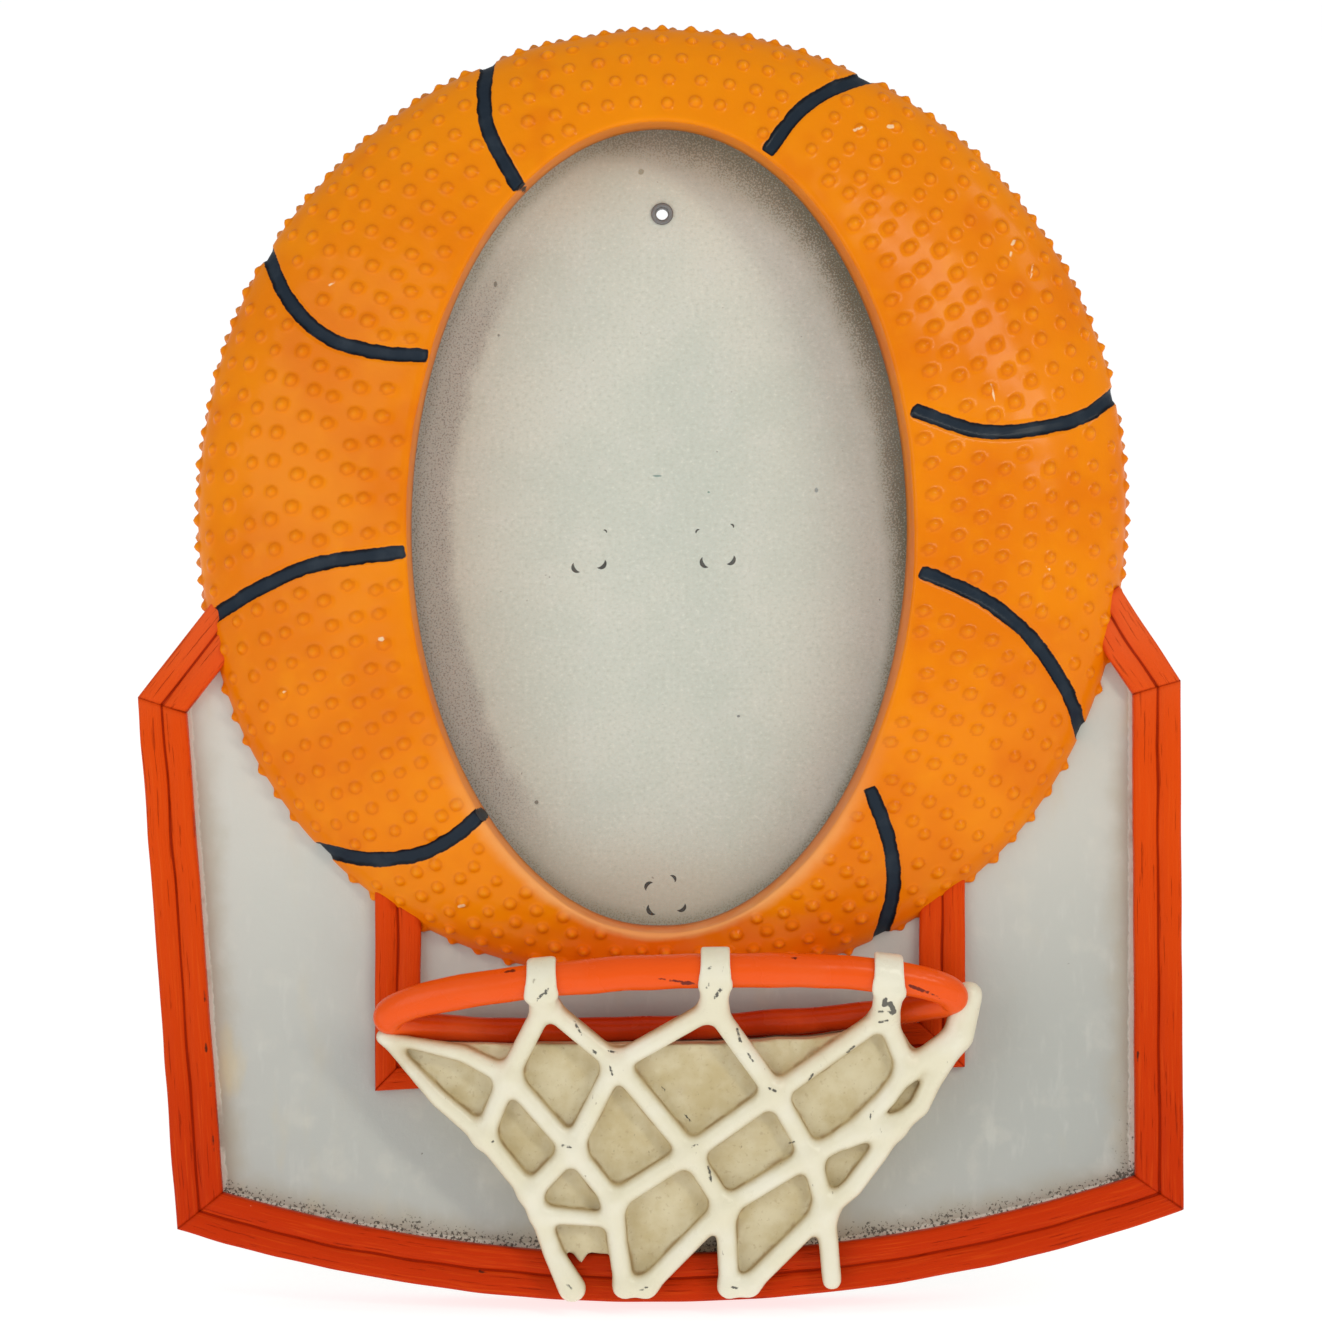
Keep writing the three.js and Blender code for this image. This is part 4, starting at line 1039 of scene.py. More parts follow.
def surface_of(field):
    """Points and quads where a distance field is zero, one point for each cell it passes through."""
    shape = np.array(field.shape)
    cell_count = np.prod(shape)
    total, hits, quads = np.zeros((cell_count, 3)), np.zeros(cell_count), []
    for axis in range(3):
        first = np.take(field, np.arange(shape[axis] - 1), axis)
        second = np.take(field, np.arange(1, shape[axis]), axis)
        edges = np.argwhere((first < 0) != (second < 0))
        a, b = first[tuple(edges.T)], second[tuple(edges.T)]
        crossing = edges.astype(float)
        crossing[:, axis] += a / (a - b)
        u, v = (axis + 1) % 3, (axis + 2) % 3
        corners = []
        for du, dv in ((0, 0), (1, 0), (1, 1), (0, 1)):
            place = edges.copy()
            place[:, u] -= du
            place[:, v] -= dv
            cell = np.ravel_multi_index(place.T, shape, mode="clip")
            corners.append(cell)
            hits += np.bincount(cell, minlength=cell_count)
            for k in range(3):
                total[:, k] += np.bincount(cell, crossing[:, k], cell_count)
        quad = np.stack(corners, -1)
        quads.append(np.where((a < 0)[:, None], quad, quad[:, ::-1]))
    used = np.flatnonzero(hits)
    order = np.zeros(cell_count, int)
    order[used] = np.arange(len(used))
    points = FIELD_LOW + NET_STEP * total[used] / hits[used, None]
    return points, order[np.concatenate(quads)]


def relax(points, faces, rounds):
    """Moves each point part of the way to the middle of its neighbours."""
    pairs = np.concatenate([faces[:, [k, (k + 1) % 4]] for k in range(4)])
    count = np.bincount(pairs.ravel(), minlength=len(points))
    for _ in range(rounds):
        total = np.zeros_like(points)
        for k in range(3):
            total[:, k] = (np.bincount(pairs[:, 0], points[pairs[:, 1], k], len(points))
                           + np.bincount(pairs[:, 1], points[pairs[:, 0], k], len(points)))
        points = 0.4 * points + 0.6 * total / count[:, None]
    return points


def net_finish():
    paint = Finish("ivory net paint", (0.72, 0.665, 0.49), 0.28)
    paint.set("Specular IOR Level", 0.4)
    place = paint.board()
    broad, mid, fine = paint.noise(place, 11, 3), paint.noise(place, 3, 4), paint.noise(place, 0.8, 2)
    relief = paint.trait("relief")
    ivory = paint.blend(paint.step(broad, 0.4, 0.7), (0.76, 0.71, 0.53), (0.80, 0.76, 0.61))
    tan = paint.blend(paint.step(broad + 0.5 * mid, 0.5, 1.0), (0.52, 0.42, 0.22), (0.66, 0.58, 0.38))
    tan = paint.blend(paint.step(fine, 0.60, 0.72) * 0.3, tan, (0.36, 0.25, 0.13))
    foot = paint.step(relief, 0.03, 0.2) * paint.step(relief, 0.66, 0.36)
    # painted shade: the flanks of the cords go to a darker tan below their ivory crests
    side = paint.blend(paint.step(relief + 0.25 * (mid - 0.5), 0.35, 0.95), (0.50, 0.39, 0.21), ivory)
    cream = paint.blend(paint.step(relief + 0.15 * (mid - 0.5), 0.12, 0.3), tan, side)
    # the feet of the cords are browned, partly by the ochre wash and partly by painted shade
    cream = paint.blend(foot * paint.step(mid, 0.36, 0.58) * 0.8, cream, (0.34, 0.23, 0.11))
    chip = paint.step(paint.trait("mark_distance") + 0.5 * (fine - 0.5), 0.1, -0.06)
    cream = paint.blend(chip * 0.9, cream, (0.035, 0.035, 0.032))
    crackle = paint.step(paint.noise(paint.stretched(place, (1, 1, 0.45)), 1.1, 2), 0.73, 0.77)
    cream = paint.blend(crackle * 0.5, cream, (0.22, 0.17, 0.10))
    paint.set("Base Color", cream)
    paint.set("Roughness", 0.5 - 0.26 * paint.step(relief, 0.3, 0.8) + 0.1 * mid)
    paint.bump(mid + 0.2 * fine - 0.5 * chip, 0.18)
    return paint


TONGUE_FOOT = 58                                  # above this height there is no skin, only tongues
net_points, net_faces = surface_of(net_field())
net_points = relax(net_points, net_faces, 2)
below_crest = -net_points[:, 1] - crest_depth(net_points[:, 0], net_points[:, 2])
net_relief = np.clip((below_crest + SKIN_RECESS) / SKIN_RECESS, 0, 1)
net_relief = np.where(net_points[:, 2] > TONGUE_FOOT, 1, net_relief)
net = add_piece("net_relief", net_points, net_faces.tolist(), "frame", net_finish(), "net_paint",
                {"relief": net_relief, "mark_distance": marks_near(net_points, CHIPS)})
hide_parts("net")


# ------------------------------------------------------------------ glass
# A flat pane of thin picture glass lies in the rebate behind the window. It is clear, with faint
# wiping marks, and keeps its CAD shape.
def glass_finish():
    pane = Finish("clear picture glass", (0.96, 1.0, 0.98), 0.03)
    place = pane.board()
    wiped = pane.noise(pane.stretched(place, (1, 1, 0.3)), 18, 3)
    pane.set("Alpha", 0.03 + 0.05 * pane.step(wiped, 0.5, 0.8))
    pane.set("Roughness", 0.03 + 0.06 * wiped)
    pane.set("Specular IOR Level", 0.25)
    return pane


def wear_finish(node_name, finish):
    """Gives a kept CAD piece its finish."""
    materials = frame["nodes"][node_name].data.materials
    for index in range(len(materials)):
        materials[index] = finish.material
    if not materials:
        materials.append(finish.material)


wear_finish("glass_pane", glass_finish())


# ------------------------------------------------------------------ back board
# The back is a sheet of grey-green chipboard with a fine fibre. Its front shows in the window: it
# is dusted with dark dirt down the left and with a brown overspray round the rest of the edge, and
# a painted shadow of the ball's lip darkens it at the upper right.
BOARD_SPOTS = [                                   # x, z, half width, half height and colour
    (-30.5, 187.4, 0.35, 0.6, (0.10, 0.09, 0.06)), (-22.9, 91.7, 0.4, 0.4, (0.10, 0.09, 0.07)),
    (14.4, 107.6, 0.3, 0.25, (0.08, 0.08, 0.09)), (28.8, 149.4, 0.35, 0.5, (0.20, 0.23, 0.24)),
    (-0.6, 152.0, 0.9, 0.22, (0.10, 0.22, 0.20)), (8.9, 149.0, 0.25, 0.2, (0.05, 0.20, 0.16)),
    (-3.6, 208.2, 0.6, 0.6, (0.28, 0.25, 0.15)), (-29.9, 178.0, 0.25, 0.3, (0.16, 0.15, 0.13)),
]


def chipboard_finish():
    board = Finish("grey chipboard", (0.6, 0.605, 0.52), 0.85)
    board.set("Specular IOR Level", 0.1)
    place = board.board()
    x, z = board.part_of(place, "X"), board.part_of(place, "Z")
    broad, mid = board.noise(place, 22, 3), board.noise(place, 5, 4)
    fibre = board.noise(board.stretched(place, (1, 1, 1.3)), 0.9, 4, 0.75)
    grain = board.noise(place, 0.34, 1)
    across, up = x / WINDOW_HALF[0], (z - WINDOW_MIDDLE[1]) / WINDOW_HALF[1]
    reach = (across * across + up * up) ** 0.5
    from_edge = (0.985 - reach) * WINDOW_HALF[0]
    grey = board.blend(board.step(broad, 0.35, 0.7), (0.57, 0.61, 0.535), (0.635, 0.655, 0.575))
    grey = board.blend(board.step(mid, 0.45, 0.7) * 0.4, grey, (0.65, 0.665, 0.60))
    grey = board.blend(board.step(fibre, 0.50, 0.34) * 0.6, grey, (0.49, 0.52, 0.44))
    grey = board.blend(board.step(fibre, 0.53, 0.68) * 0.5, grey, (0.78, 0.80, 0.71))
    # a faint brown haze at the top and the bottom
    haze = board.step(abs(up) + 0.25 * (broad - 0.5) + 0.1 * (mid - 0.5), 0.72, 0.98)
    grey = board.blend(haze * 0.4, grey, (0.47, 0.40, 0.27))
    # brown overspray round the edge; the wider, stronger band at the upper right is painted shadow of the
    # ball's lip as well as overspray
    upper_right = board.step(across + up, 0.55, 1.15)
    width = 2 + 5.2 * upper_right + 0.6 * board.step(across, 0.4, 0.9) * board.step(up, -0.8, -0.1)
    overspray_and_lip_shadow = board.step(from_edge / width + 0.4 * (mid - 0.5), 1.0, 0.0)
    overspray_and_lip_shadow = overspray_and_lip_shadow * (0.5 + 0.4 * upper_right + 0.2 * board.step(across, 0.3, 0.9))
    dust = board.step(grain + 0.3 * overspray_and_lip_shadow, 0.60, 0.80)
    grey = board.blend(overspray_and_lip_shadow * 0.75, grey, (0.27, 0.245, 0.155))
    grey = board.blend(dust * overspray_and_lip_shadow * 0.8, grey, (0.13, 0.115, 0.065))
    # dark grey dirt down the left, ending in a soft edge
    left = board.step(across, -0.35, -0.7) * board.step(up, 0.78, 0.45) * board.step(up, -0.95, -0.6)
    ragged = 3 * (mid - 0.5) + 2 * (broad - 0.5) + 2 * (fibre - 0.5)
    smudge = board.step(from_edge + ragged, 8.2, 5.0) * left
    grey = board.blend(smudge * 0.5, grey, (0.34, 0.315, 0.295))
    speckle = board.step(grain, 0.50, 0.68) * smudge
    grey = board.blend(speckle * 0.6, grey, (0.15, 0.14, 0.13))
    stray = board.step(board.noise(place, 1.0, 1), 0.80, 0.83)
    grey = board.blend(stray * 0.7, grey, (0.24, 0.22, 0.18))
    # the stray marks: specks of dirt and blue-green fibres
    for spot_x, spot_z, wide, high, color in BOARD_SPOTS:
        far = (((x - spot_x) / wide) ** 2 + ((z - spot_z) / high) ** 2) ** 0.5
        grey = board.blend(board.step(far + 0.8 * (fibre - 0.5), 1.1, 0.7) * 0.75, grey, color)
    board.set("Base Color", grey)
    board.set("Roughness", 0.8 + 0.12 * fibre)
    board.bump(fibre + 0.6 * mid, 0.06)
    return board


wear_finish("back_board", chipboard_finish())


# ------------------------------------------------------------------ clinched prongs
# The hinge and the ribbon's anchor are held by sharp steel prongs pushed through the board from
# behind and bent over. Only a dark crescent of each shows in front.
PRONGS = [                                        # x, z, length and the way its hollow side faces
    (-16.0, 134.7, 2.0, 35), (-10.5, 135.3, 2.0, 135), (-10.1, 141.9, 0.8, 230),
    (7.7, 135.7, 2.1, 30), (13.4, 136.1, 2.0, 140), (6.7, 141.9, 1.0, 320), (13.4, 142.9, 0.9, 220),
    (-2.5, 76.5, 1.9, 320), (2.6, 77.8, 1.5, 215), (-2.1, 71.5, 2.1, 35), (4.2, 71.9, 1.9, 130),
]
BOARD_FRONT = -2.7
PRONG_BEND = 1.15                                 # half of the crescent's arc, in radians


def make_prong(x, z, length, facing, turns=14, sides=6):
    """A crescent of bent steel, thick in the middle and pointed at both ends."""
    bend = np.linspace(-PRONG_BEND, PRONG_BEND, turns)
    turn = math.radians(facing + 180)
    radius = length / 2 / math.sin(PRONG_BEND)
    centre = np.array([x, z]) - radius * np.array([math.cos(turn), math.sin(turn)])
    outward = np.stack([np.cos(turn + bend), np.sin(turn + bend)], -1)
    middle = centre + radius * outward
    thick = 0.36 * np.clip(np.cos(bend * 1.3), 0.06, 1) * length / 2
    round_bar = np.linspace(0, 2 * math.pi, sides, endpoint=False)
    rows = []
    for i in range(turns):
        spot = middle[i] + np.outer(np.cos(round_bar) * thick[i], outward[i])
        depth = BOARD_FRONT - 0.02 - 0.35 * thick[i] * np.sin(round_bar)
        rows.append(np.stack([spot[:, 0], depth, spot[:, 1]], -1))
    return np.concatenate(rows), capped_bar(turns, sides)


def metal_finish(name, color, roughness, tarnish, spread):
    """Brushed metal; spread is how much of it has tarnished, from 0 to 1."""
    metal = Finish(name, color, roughness, 1.0)
    place = metal.board()
    cloudy, fine = metal.noise(place, 4, 4), metal.noise(place, 0.7, 3)
    spots = metal.step(cloudy + 0.3 * (fine - 0.5), 0.75 - 0.35 * spread, 0.95 - 0.35 * spread)
    brushed = metal.noise(metal.stretched(place, (1, 1, 9)), 1.2, 3)
    metal.set("Base Color", metal.blend(spots, color, tarnish))
    metal.set("Roughness", roughness + 0.2 * brushed + 0.2 * spots)
    metal.set("Metallic", 1 - 0.6 * spots)
    metal.bump(brushed + fine * 0.4, 0.02)
    return metal


prong_steel = metal_finish("tarnished prong steel", (0.10, 0.095, 0.08), 0.6,
                           (0.035, 0.032, 0.025), 1.0)
for number, prong in enumerate(PRONGS, 1):
    add_piece(f"prong_{number}", *make_prong(*prong), "frame", prong_steel, "steel")


# ------------------------------------------------------------------ hanging eyelet
# A small tinned eyelet is rolled over on both sides of the back, near its top. The frame can hang
# from a nail through it.
EYELET_X, EYELET_Z, EYELET_HOLE, EYELET_FLANGE = 0.3, 200.4, 1.1, 2.05
EYELET_FRONT, EYELET_BACK, EYELET_ROLL = -3.35, 2.25, 0.38


def turned(x, z, profile, count=40, closed=False):
    """Points and faces turned about a line through x and z; the profile is of radius and y."""
    turn = np.linspace(0, 2 * math.pi, count, endpoint=False)
    profile = np.asarray(profile, float)
    across = profile[:, 0, None] * np.cos(turn)
    up = profile[:, 0, None] * np.sin(turn)
    depth = np.repeat(profile[:, 1, None], count, 1)
    points = np.stack([x + across, depth, z + up], -1).reshape(-1, 3)
    return points, grid_faces(len(profile), count, wrap_rows=closed, wrap_columns=True)


def rolled_rim(face, outward):
    """Half of the rolled flange's cross-section, from the hole to the edge."""
    turns = np.linspace(0, math.pi, 9)
    middle, half = (EYELET_HOLE + EYELET_FLANGE) / 2, (EYELET_FLANGE - EYELET_HOLE) / 2
    y = face - outward * EYELET_ROLL
    return [(middle - half * math.cos(turn), y + outward * EYELET_ROLL * math.sin(turn)) for turn in turns]


front_rim, back_rim = rolled_rim(EYELET_FRONT, -1), rolled_rim(EYELET_BACK, 1)
eyelet_tube = [(EYELET_HOLE + 0.35, EYELET_FRONT + 0.5), (EYELET_HOLE + 0.35, EYELET_BACK - 0.5)]
eyelet_tin = metal_finish("dull eyelet tin", (0.16, 0.16, 0.165), 0.42, (0.06, 0.06, 0.06), 0.4)
eyelet_profile = front_rim + eyelet_tube + back_rim[::-1]
eyelet_points, eyelet_faces = turned(EYELET_X, EYELET_Z, eyelet_profile, closed=True)
eyelet = add_piece("rolled_eyelet", eyelet_points, eyelet_faces[:, ::-1], "frame", eyelet_tin, "steel")
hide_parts("hanging_eyelet")


# ------------------------------------------------------------------ back cover
# The back board is faced with black paper embossed like leather. The corners of the emboss have
# rubbed to grey.
def black_card_finish():
    card = Finish("embossed black card", (0.012, 0.012, 0.013), 0.55)
    place = card.board()
    cells = card.node("ShaderNodeTexVoronoi", {"feature": "F1"}, Vector=place, Scale=1.1)
    fine, broad = card.noise(place, 0.8, 3), card.noise(place, 14, 4)
    rubbed = card.step(broad + 0.4 * (fine - 0.5), 0.60, 0.82)
    card.set("Base Color", card.blend(rubbed * 0.5, (0.011, 0.011, 0.012), (0.055, 0.052, 0.05)))
    card.set("Roughness", 0.48 + 0.22 * broad)
    card.bump(cells * -1 + fine * 0.4, 0.11)
    return card


black_card = black_card_finish()
wear_finish("back_cover", black_card)


# ------------------------------------------------------------------ turn buttons
# Four stamped brass buttons hold the back in. Each turns on a slotted screw driven into the
# casting, with a boss pressed up round its hole to reach over the edge of the back.
BUTTON_X, BUTTON_RISE = 48.92, 45
BUTTON_WIDTH, BUTTON_REACH = 8, 15
BUTTON_BACK, BUTTON_FRONT, BUTTON_HOLE, BUTTON_BOSS = 2.9, 1.9, 1.5, 2.9
SCREW_HEAD, SCREW_TOP, SCREW_SHANK, SCREW_END = 2.7, 4.8, 1.2, -5.4
SLOT_HALF_LENGTH, SLOT_HALF_WIDTH, SLOT_DEPTH = 4, 0.4, 1.0
SCREW_TURNS = [20, 75, -35, 50]                   # degrees that each slot stands at
AXIS = 0.001                                      # the radius that stands for a closed point


def add_bevel(piece, width, segments=3):
    bevel = piece.modifiers.new("rounded edges", "BEVEL")
    bevel.width = width * MM
    bevel.segments = segments
    bevel.angle_limit = math.radians(35)
    bevel.limit_method = "ANGLE"


def button_outline(count):
    """Distances from the screw to a strip with round ends, for count directions."""
    turn = np.linspace(0, 2 * math.pi, count, endpoint=False)
    ray = np.stack([np.cos(turn), np.sin(turn)], -1)
    half = BUTTON_WIDTH / 2
    far_end = BUTTON_REACH - half
    reach = np.full(count, half)
    for i, (across, up) in enumerate(ray):
        if across > 0:
            side = half / max(abs(up), 1e-9)
            inside = far_end * across
            round_end = inside + math.sqrt(max(half ** 2 - (far_end * up) ** 2, 0))
            reach[i] = side if side * across <= far_end else round_end
    return ray * reach[:, None]


def make_button(x, z, inward, count=96):
    outline = button_outline(count) * (inward, 1)
    turn = np.linspace(0, 2 * math.pi, count, endpoint=False)
    circle = np.stack([np.cos(turn), np.sin(turn)], -1) * (inward, 1)
    soft = outline - 0.25 * circle
    boss = [(BUTTON_HOLE, 0.32), (BUTTON_BOSS - 0.4, 0.32), (BUTTON_BOSS, 0.6),
            (BUTTON_BOSS, BUTTON_FRONT - 0.15), (BUTTON_BOSS + 0.2, BUTTON_FRONT)]
    strip = [(soft, BUTTON_FRONT), (outline, BUTTON_FRONT + 0.25), (outline, BUTTON_BACK - 0.25),
             (soft, BUTTON_BACK)]
    dish = [(BUTTON_BOSS + 0.3, BUTTON_BACK), (BUTTON_BOSS - 0.3, BUTTON_BACK - 0.25),
            (BUTTON_HOLE + 0.1, BUTTON_BACK - 0.25), (BUTTON_HOLE, BUTTON_BACK - 0.4)]
    loops = [(circle * radius, y) for radius, y in boss] + strip
    loops += [(circle * radius, y) for radius, y in dish]
    rows = [np.stack([x + loop[:, 0], np.full(count, y), z + loop[:, 1]], -1) for loop, y in loops]
    faces = grid_faces(len(rows), count, wrap_rows=True, wrap_columns=True)
    return np.concatenate(rows), faces if inward > 0 else faces[:, ::-1]


def make_screw(x, z):
    """A pan head and its shank in one turned shape."""
    profile = [(AXIS, SCREW_TOP)]
    for turn in np.linspace(0.25, 1, 6) * math.pi / 2:
        profile.append((SCREW_HEAD * math.sin(turn), SCREW_TOP - (1 - math.cos(turn)) ** 1.2))
    profile += [(SCREW_HEAD, 3.35), (SCREW_HEAD - 0.15, 3.2), (SCREW_SHANK, 3.2), (SCREW_SHANK, -4.2),
                (AXIS, SCREW_END)]
    return turned(x, z, profile)


def cut_slot(piece, x, z, facing):
    """Cuts the slot of a screw for good; facing is the angle it stands at, in degrees."""
    turn = math.radians(facing)
    along, over = np.array([math.cos(turn), math.sin(turn)]), np.array([-math.sin(turn), math.cos(turn)])
    corners = [np.array([x, z]) + a * SLOT_HALF_LENGTH * along + b * SLOT_HALF_WIDTH * over
               for a, b in ((-1, -1), (1, -1), (1, 1), (-1, 1))]
    cutter = put("cutter", placed_mesh("cutter", *prism(corners, SCREW_TOP + 1, SCREW_TOP - SLOT_DEPTH),
                                       board_place))
    cut = piece.modifiers.new("slot", "BOOLEAN")
    cut.object = cutter
    cut.solver = "EXACT"
    result = piece.evaluated_get(bpy.context.evaluated_depsgraph_get())
    piece.data = bpy.data.meshes.new_from_object(result)
    piece.modifiers.clear()
    bpy.data.objects.remove(cutter)


zinc = metal_finish("zinc-plated steel", (0.62, 0.62, 0.60), 0.3, (0.30, 0.27, 0.22), 0.45)
brass = metal_finish("dull stamped brass", (0.66, 0.47, 0.20), 0.32, (0.24, 0.15, 0.07), 0.5)
button_sides = [(side, rise) for side in (-1, 1) for rise in (BUTTON_RISE, -BUTTON_RISE)]
for number, (side, rise) in enumerate(button_sides, 1):
    x, z = side * BUTTON_X, WINDOW_MIDDLE[1] + rise
    body = f"button_{number}"
    button = add_piece(f"stamped_{body}", *make_button(x, z, -side), body, brass, "brass")
    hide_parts(f"turn_{body}")
    screw = add_piece(f"slotted_screw_{number}", *make_screw(x, z), "frame", zinc, "steel")
    cut_slot(screw, x, z, SCREW_TURNS[number - 1])
    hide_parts(f"turn_button_screw_{number}")


# ------------------------------------------------------------------ easel hinge
# The leg hangs on a strap hinge. Each leaf is one steel strip whose end is rolled round the pin,
# and is held by two domed rivets. The fixed leaf is on the back and the moving leaf on the leg.
LEG_OPENING = math.radians(24)
HINGE_HALF_WIDTH, MIDDLE_KNUCKLE, SIDE_KNUCKLE, LEAF_REACH = 18, 7.7, 8, 12
LEAF_THICK, KNUCKLE_MIDDLE, PIN_RADIUS = 0.56, 1.31, 0.8
hinge_place = board_place @ Matrix.Translation(HINGE_LINE)
leg_place = hinge_place @ Matrix.Rotation(LEG_OPENING, 4, "X")


def make_leaf(path, curl_start, keep):
    """A strip along a path of y and z; past curl_start only the widths that keep allows are left."""
    right_edges = [MIDDLE_KNUCKLE, SIDE_KNUCKLE, HINGE_HALF_WIDTH]
    edges = [-edge for edge in right_edges[::-1]] + right_edges
    points = [(x, y, z) for y, z in path for x in edges]
    columns, faces = len(edges), []
    for row in range(len(path) - 1):
        for column in range(columns - 1):
            middle = abs(edges[column] + edges[column + 1]) / 2
            if row < curl_start or keep(middle):
                corner = row * columns + column
                faces.append((corner, corner + 1, corner + columns + 1, corner + columns))
    used = sorted({corner for face in faces for corner in face})
    order = {corner: i for i, corner in enumerate(used)}
    return np.array(points)[used], [tuple(order[corner] for corner in face) for face in faces]


def rolled_end(first, last):
    """The rolled part of a leaf's path, about the pin, between two angles in degrees."""
    turns = np.radians(np.linspace(first, last, 22))
    return [(KNUCKLE_MIDDLE * math.cos(turn), KNUCKLE_MIDDLE * math.sin(turn)) for turn in turns]


def add_leaf(name, path, curl_start, keep, body, place, node_name):
    points, faces = make_leaf(path, curl_start, keep)
    leaf = add_piece(name, points, faces, body, zinc, "steel", place=place)
    plate = leaf.modifiers.new("thickness", "SOLIDIFY")
    plate.thickness = LEAF_THICK * MM
    plate.offset = 0
    plate.use_even_offset = True
    add_bevel(leaf, 0.12, 2)
    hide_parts(node_name)


def add_dome(name, x, z, y, radius, height, body, place):
    """A domed rivet head that stands off a face towards the back; height below 0 turns it round."""
    edge = height * 0.35
    profile = [(max(radius * math.sin(turn), AXIS), y + edge + (height - edge) * math.cos(turn))
               for turn in np.linspace(0, math.pi / 2, 9)]
    profile += [(radius, y + edge * 0.3), (radius - 0.12, y), (AXIS, y)]
    points, faces = turned(x, z, profile)
    if height < 0:
        faces = faces[:, ::-1]
    return add_piece(name, points, faces, body, zinc, "steel", place=place)


CURL_START = 4                                    # the point of a leaf's path where it starts to roll
fixed_path = [(-KNUCKLE_MIDDLE, z) for z in (LEAF_REACH, 9, 6, 3.5, 2.2, 1)] + rolled_end(180, 470)
add_leaf("rolled_fixed_leaf", fixed_path, CURL_START, lambda middle: middle > SIDE_KNUCKLE, "frame",
         hinge_place, "hinge_fixed_leaf")
moving_path = [(0, z) for z in (-LEAF_REACH, -9, -6, -4.6, -3.4)]
moving_path += [(0.3, -2.6), (0.95, -1.6)] + rolled_end(-25, 240)
add_leaf("rolled_moving_leaf", moving_path, CURL_START, lambda middle: middle < MIDDLE_KNUCKLE, "leg",
         leg_place, "hinge_moving_leaf")

pin_end = [(AXIS, 19.0), (0.55, 18.95), (PIN_RADIUS, 18.6)]
pin_profile = [(radius, -x) for radius, x in pin_end] + pin_end[::-1]
pin_points, pin_faces = turned(0, 0, pin_profile, 24)
pin = add_piece("peened_hinge_pin", pin_points[:, [1, 0, 2]], pin_faces[:, ::-1], "frame", zinc, "steel",
                place=hinge_place)
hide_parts("hinge_pin")

LEAF_RIVETS = [(-13.3, 6.8), (10.4, 7.2)]         # over the prongs that show in front
for number, (x, z) in enumerate(LEAF_RIVETS, 1):
    add_dome(f"fixed_leaf_rivet_{number}", x, z, -KNUCKLE_MIDDLE + LEAF_THICK / 2, 2.5, 0.9, "frame",
             hinge_place)
    add_dome(f"moving_leaf_rivet_{number}", x, -z, -LEAF_THICK / 2, 2.5, -0.8, "leg", leg_place)


# ------------------------------------------------------------------ easel leg
# The leg is a strip of fibreboard that widens to its foot. It is wrapped in the same black paper
# as the back, and its foot is cut level with the table.
LEG_TOP_HALF, LEG_FOOT_HALF, LEG_FRONT, LEG_BACK, LEG_TOP = 20, 26, 0.6, 3.6, -2.2
LEG_CORNER = 2.6


def foot_height(y):
    """The level foot's height at a depth, in the leg's own axes."""
    stance = LEG_OPENING - LEAN
    drop = hinge_place.translation.z / MM
    return -(drop + y * math.sin(stance)) / math.cos(stance)


def make_leg(rows=9):
    outline = []
    corners = [(-LEG_FOOT_HALF, False, 225), (LEG_FOOT_HALF, False, 315), (LEG_TOP_HALF, True, 45),
               (-LEG_TOP_HALF, True, 135)]
    for x, top, facing in corners:
        radius = LEG_CORNER if top else LEG_CORNER * 0.5
        middle_x, middle_z = x - math.copysign(radius, x), -radius if top else radius
        for turn in np.radians(np.linspace(facing - 40, facing + 40, rows)):
            outline.append((middle_x + radius * math.cos(turn), top, middle_z + radius * math.sin(turn)))
    loops = []
    for y in (LEG_FRONT, LEG_BACK):
        foot = foot_height(y)
        loops.append([(x, y, (LEG_TOP if top else foot) + shift) for x, top, shift in outline])
    return np.array(loops).reshape(-1, 3), [face[::-1] for face in slab_faces(len(outline))]


leg_points, leg_faces = make_leg()
leg = add_piece("wrapped_easel_leg", leg_points, leg_faces, "leg", black_card, "black_card",
                soften=False, place=leg_place)
add_bevel(leg, 0.5)
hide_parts("easel_leg")
for number, (x, z) in enumerate(LEAF_RIVETS, 1):
    add_dome(f"leg_rivet_tail_{number}", x, -z, LEG_BACK, 1.7, 0.5, "leg", leg_place)


# ------------------------------------------------------------------ stay ribbon
# A black woven ribbon stops the leg from opening too far. Each end is pinned under a domed steel
# stud, one on the back cover and one half way down the leg.
ANCHOR_X, ANCHOR_Z, ANCHOR_RADIUS, ANCHOR_THICK = 1.2, 74.7, 4, 0.78
RIBBON_HALF_WIDTH, RIBBON_THICK = 5, 0.26
RIB_PITCH, THREAD_PITCH = 0.75, 0.3
COVER_BACK = 1.6
anchor_drop = HINGE_LINE.z / MM - ANCHOR_Z
board_stud = add_dome("board_ribbon_stud", ANCHOR_X, ANCHOR_Z, COVER_BACK + 0.3, ANCHOR_RADIUS,
                      ANCHOR_THICK, "frame", board_place)
leg_stud = add_dome("leg_ribbon_stud", ANCHOR_X, -anchor_drop, 0.3, ANCHOR_RADIUS, -ANCHOR_THICK, "leg",
                    leg_place)
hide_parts("ribbon_anchor_board")
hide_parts("ribbon_anchor_leg")


def from_leg(y, z):
    """A point of the leg's axes, in the board's axes, as y and z."""
    point = board_place.inverted() @ leg_place @ (Vector((0, y, z)) * MM)
    return point.y / MM, point.z / MM


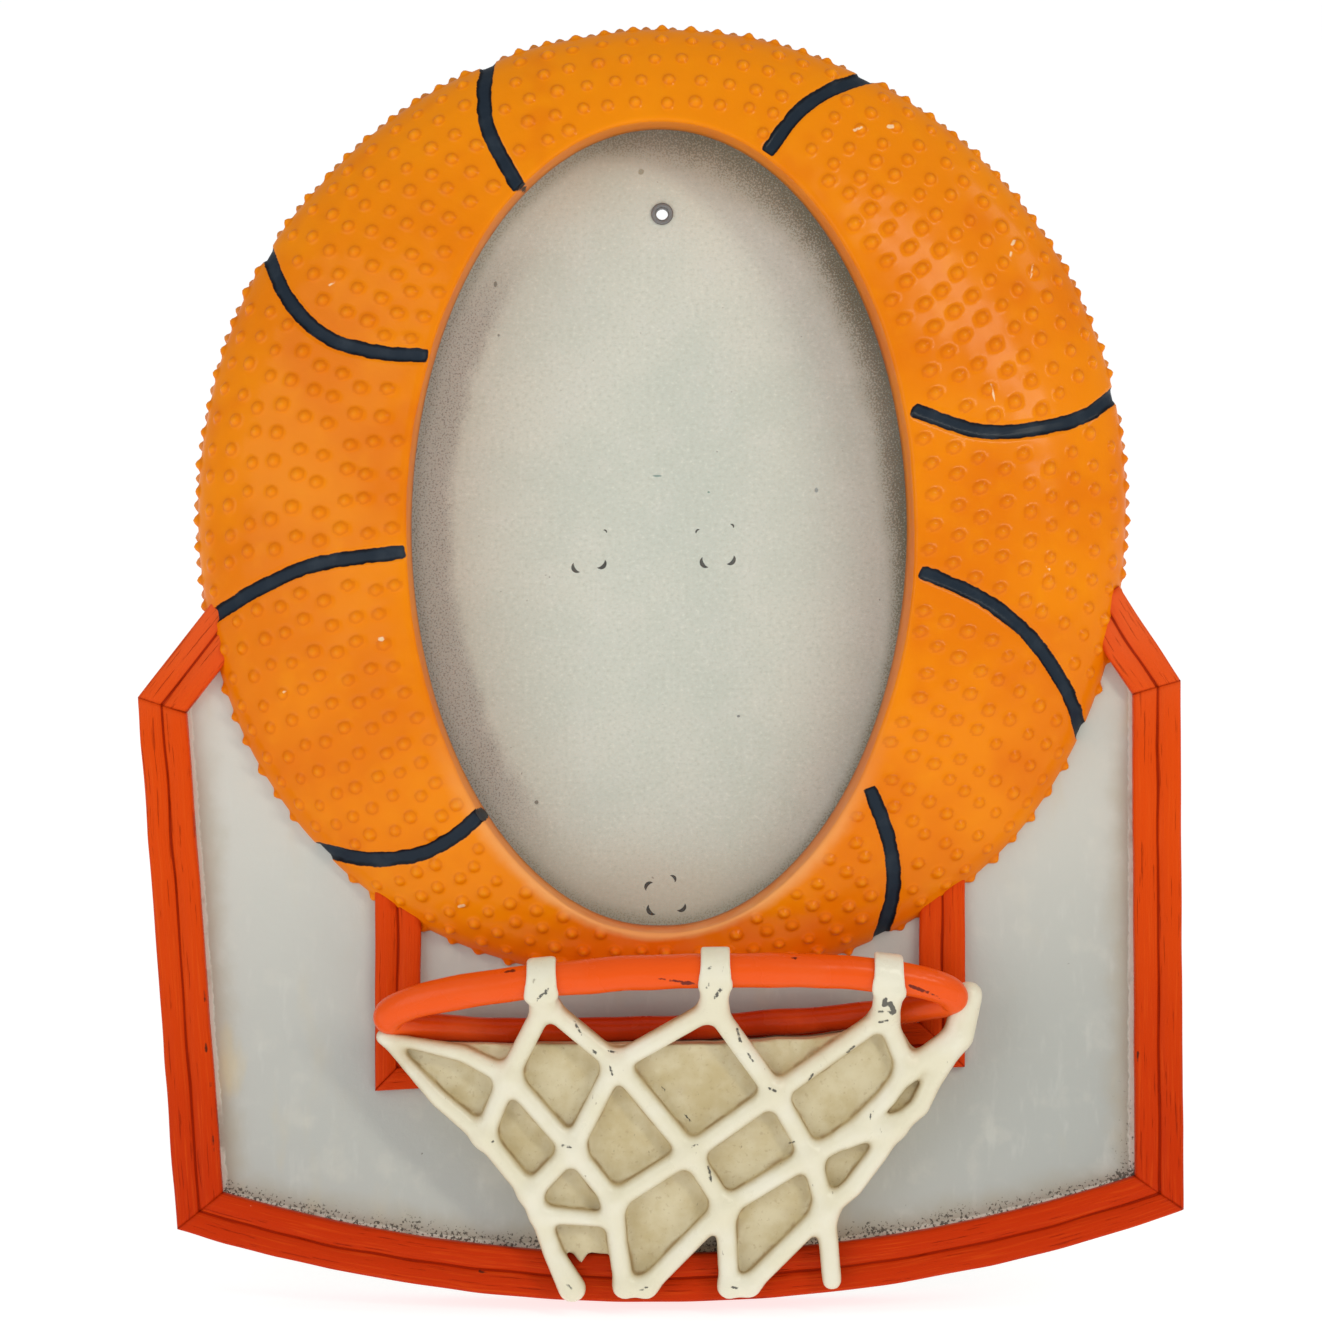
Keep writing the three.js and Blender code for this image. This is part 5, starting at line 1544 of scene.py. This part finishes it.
def make_ribbon(columns=11):
    """The ribbon's two faces along its path, with its edges closed."""
    flat_y = COVER_BACK + 0.15
    landing = from_leg(0.45, -anchor_drop - 4.6)
    path = [(flat_y, ANCHOR_Z - 3), (flat_y, ANCHOR_Z), (flat_y, ANCHOR_Z + 3.2),
            (flat_y + 0.15, ANCHOR_Z + 4.2), (flat_y + 1.2, ANCHOR_Z + 4.7), (9, ANCHOR_Z + 3.7),
            (16, ANCHOR_Z + 2.6), (22, ANCHOR_Z + 1.8),
            (landing[0] - 1.3, landing[1] + 0.1), (landing[0] - 0.1, landing[1] + 0.5),
            from_leg(0.45, -anchor_drop - 3.4), from_leg(0.45, -anchor_drop + 1)]
    line = route(path, 90)
    along = np.gradient(line, axis=0)
    normal = np.stack([along[:, 1], -along[:, 0]], -1) / np.linalg.norm(along, axis=1, keepdims=True)
    across = np.linspace(-RIBBON_HALF_WIDTH, RIBBON_HALF_WIDTH, columns)
    loops = []
    for side, widths in ((0.5, across), (-0.5, across[::-1])):
        face = line + side * RIBBON_THICK * normal
        loops.append(np.stack([np.repeat(ANCHOR_X + widths[None], len(line), 0),
                               np.repeat(face[:, 0, None], columns, 1),
                               np.repeat(face[:, 1, None], columns, 1)], -1))
    points = np.concatenate(loops, axis=1)
    traits = {"along": np.repeat(length_along(line), 2 * columns),
              "across": (points[..., 0] - ANCHOR_X).ravel()}
    return points.reshape(-1, 3), capped_bar(len(line), 2 * columns), traits


def ribbon_finish():
    cloth = Finish("black grosgrain ribbon", (0.012, 0.012, 0.014), 0.8)
    along, across = cloth.trait("along"), cloth.trait("across")
    rib = Value.maths("SINE", along * (2 * math.pi / RIB_PITCH)) * 0.5 + 0.5
    thread = Value.maths("SINE", across * (2 * math.pi / THREAD_PITCH)) * 0.5 + 0.5
    fray = cloth.noise(cloth.board(), 0.6, 2)
    selvedge = cloth.step(abs(across), 4.3, 4.6)
    shade = rib * 0.7 + thread * 0.2 + fray * 0.1
    cloth.set("Base Color", cloth.blend(shade, (0.006, 0.006, 0.007), (0.032, 0.032, 0.036)))
    cloth.set("Roughness", 0.7 + 0.2 * fray)
    cloth.set("Sheen Weight", 0.3)
    cloth.bump(rib * (1 - selvedge) + selvedge * 0.8 + thread * 0.25, 0.09)
    return cloth


ribbon_points, ribbon_faces, ribbon_traits = make_ribbon()
ribbon = add_piece("woven_stay_ribbon", ribbon_points, ribbon_faces, None, ribbon_finish(),
                   "ribbon_cloth", ribbon_traits)
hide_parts("stay_ribbon")
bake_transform(ribbon)
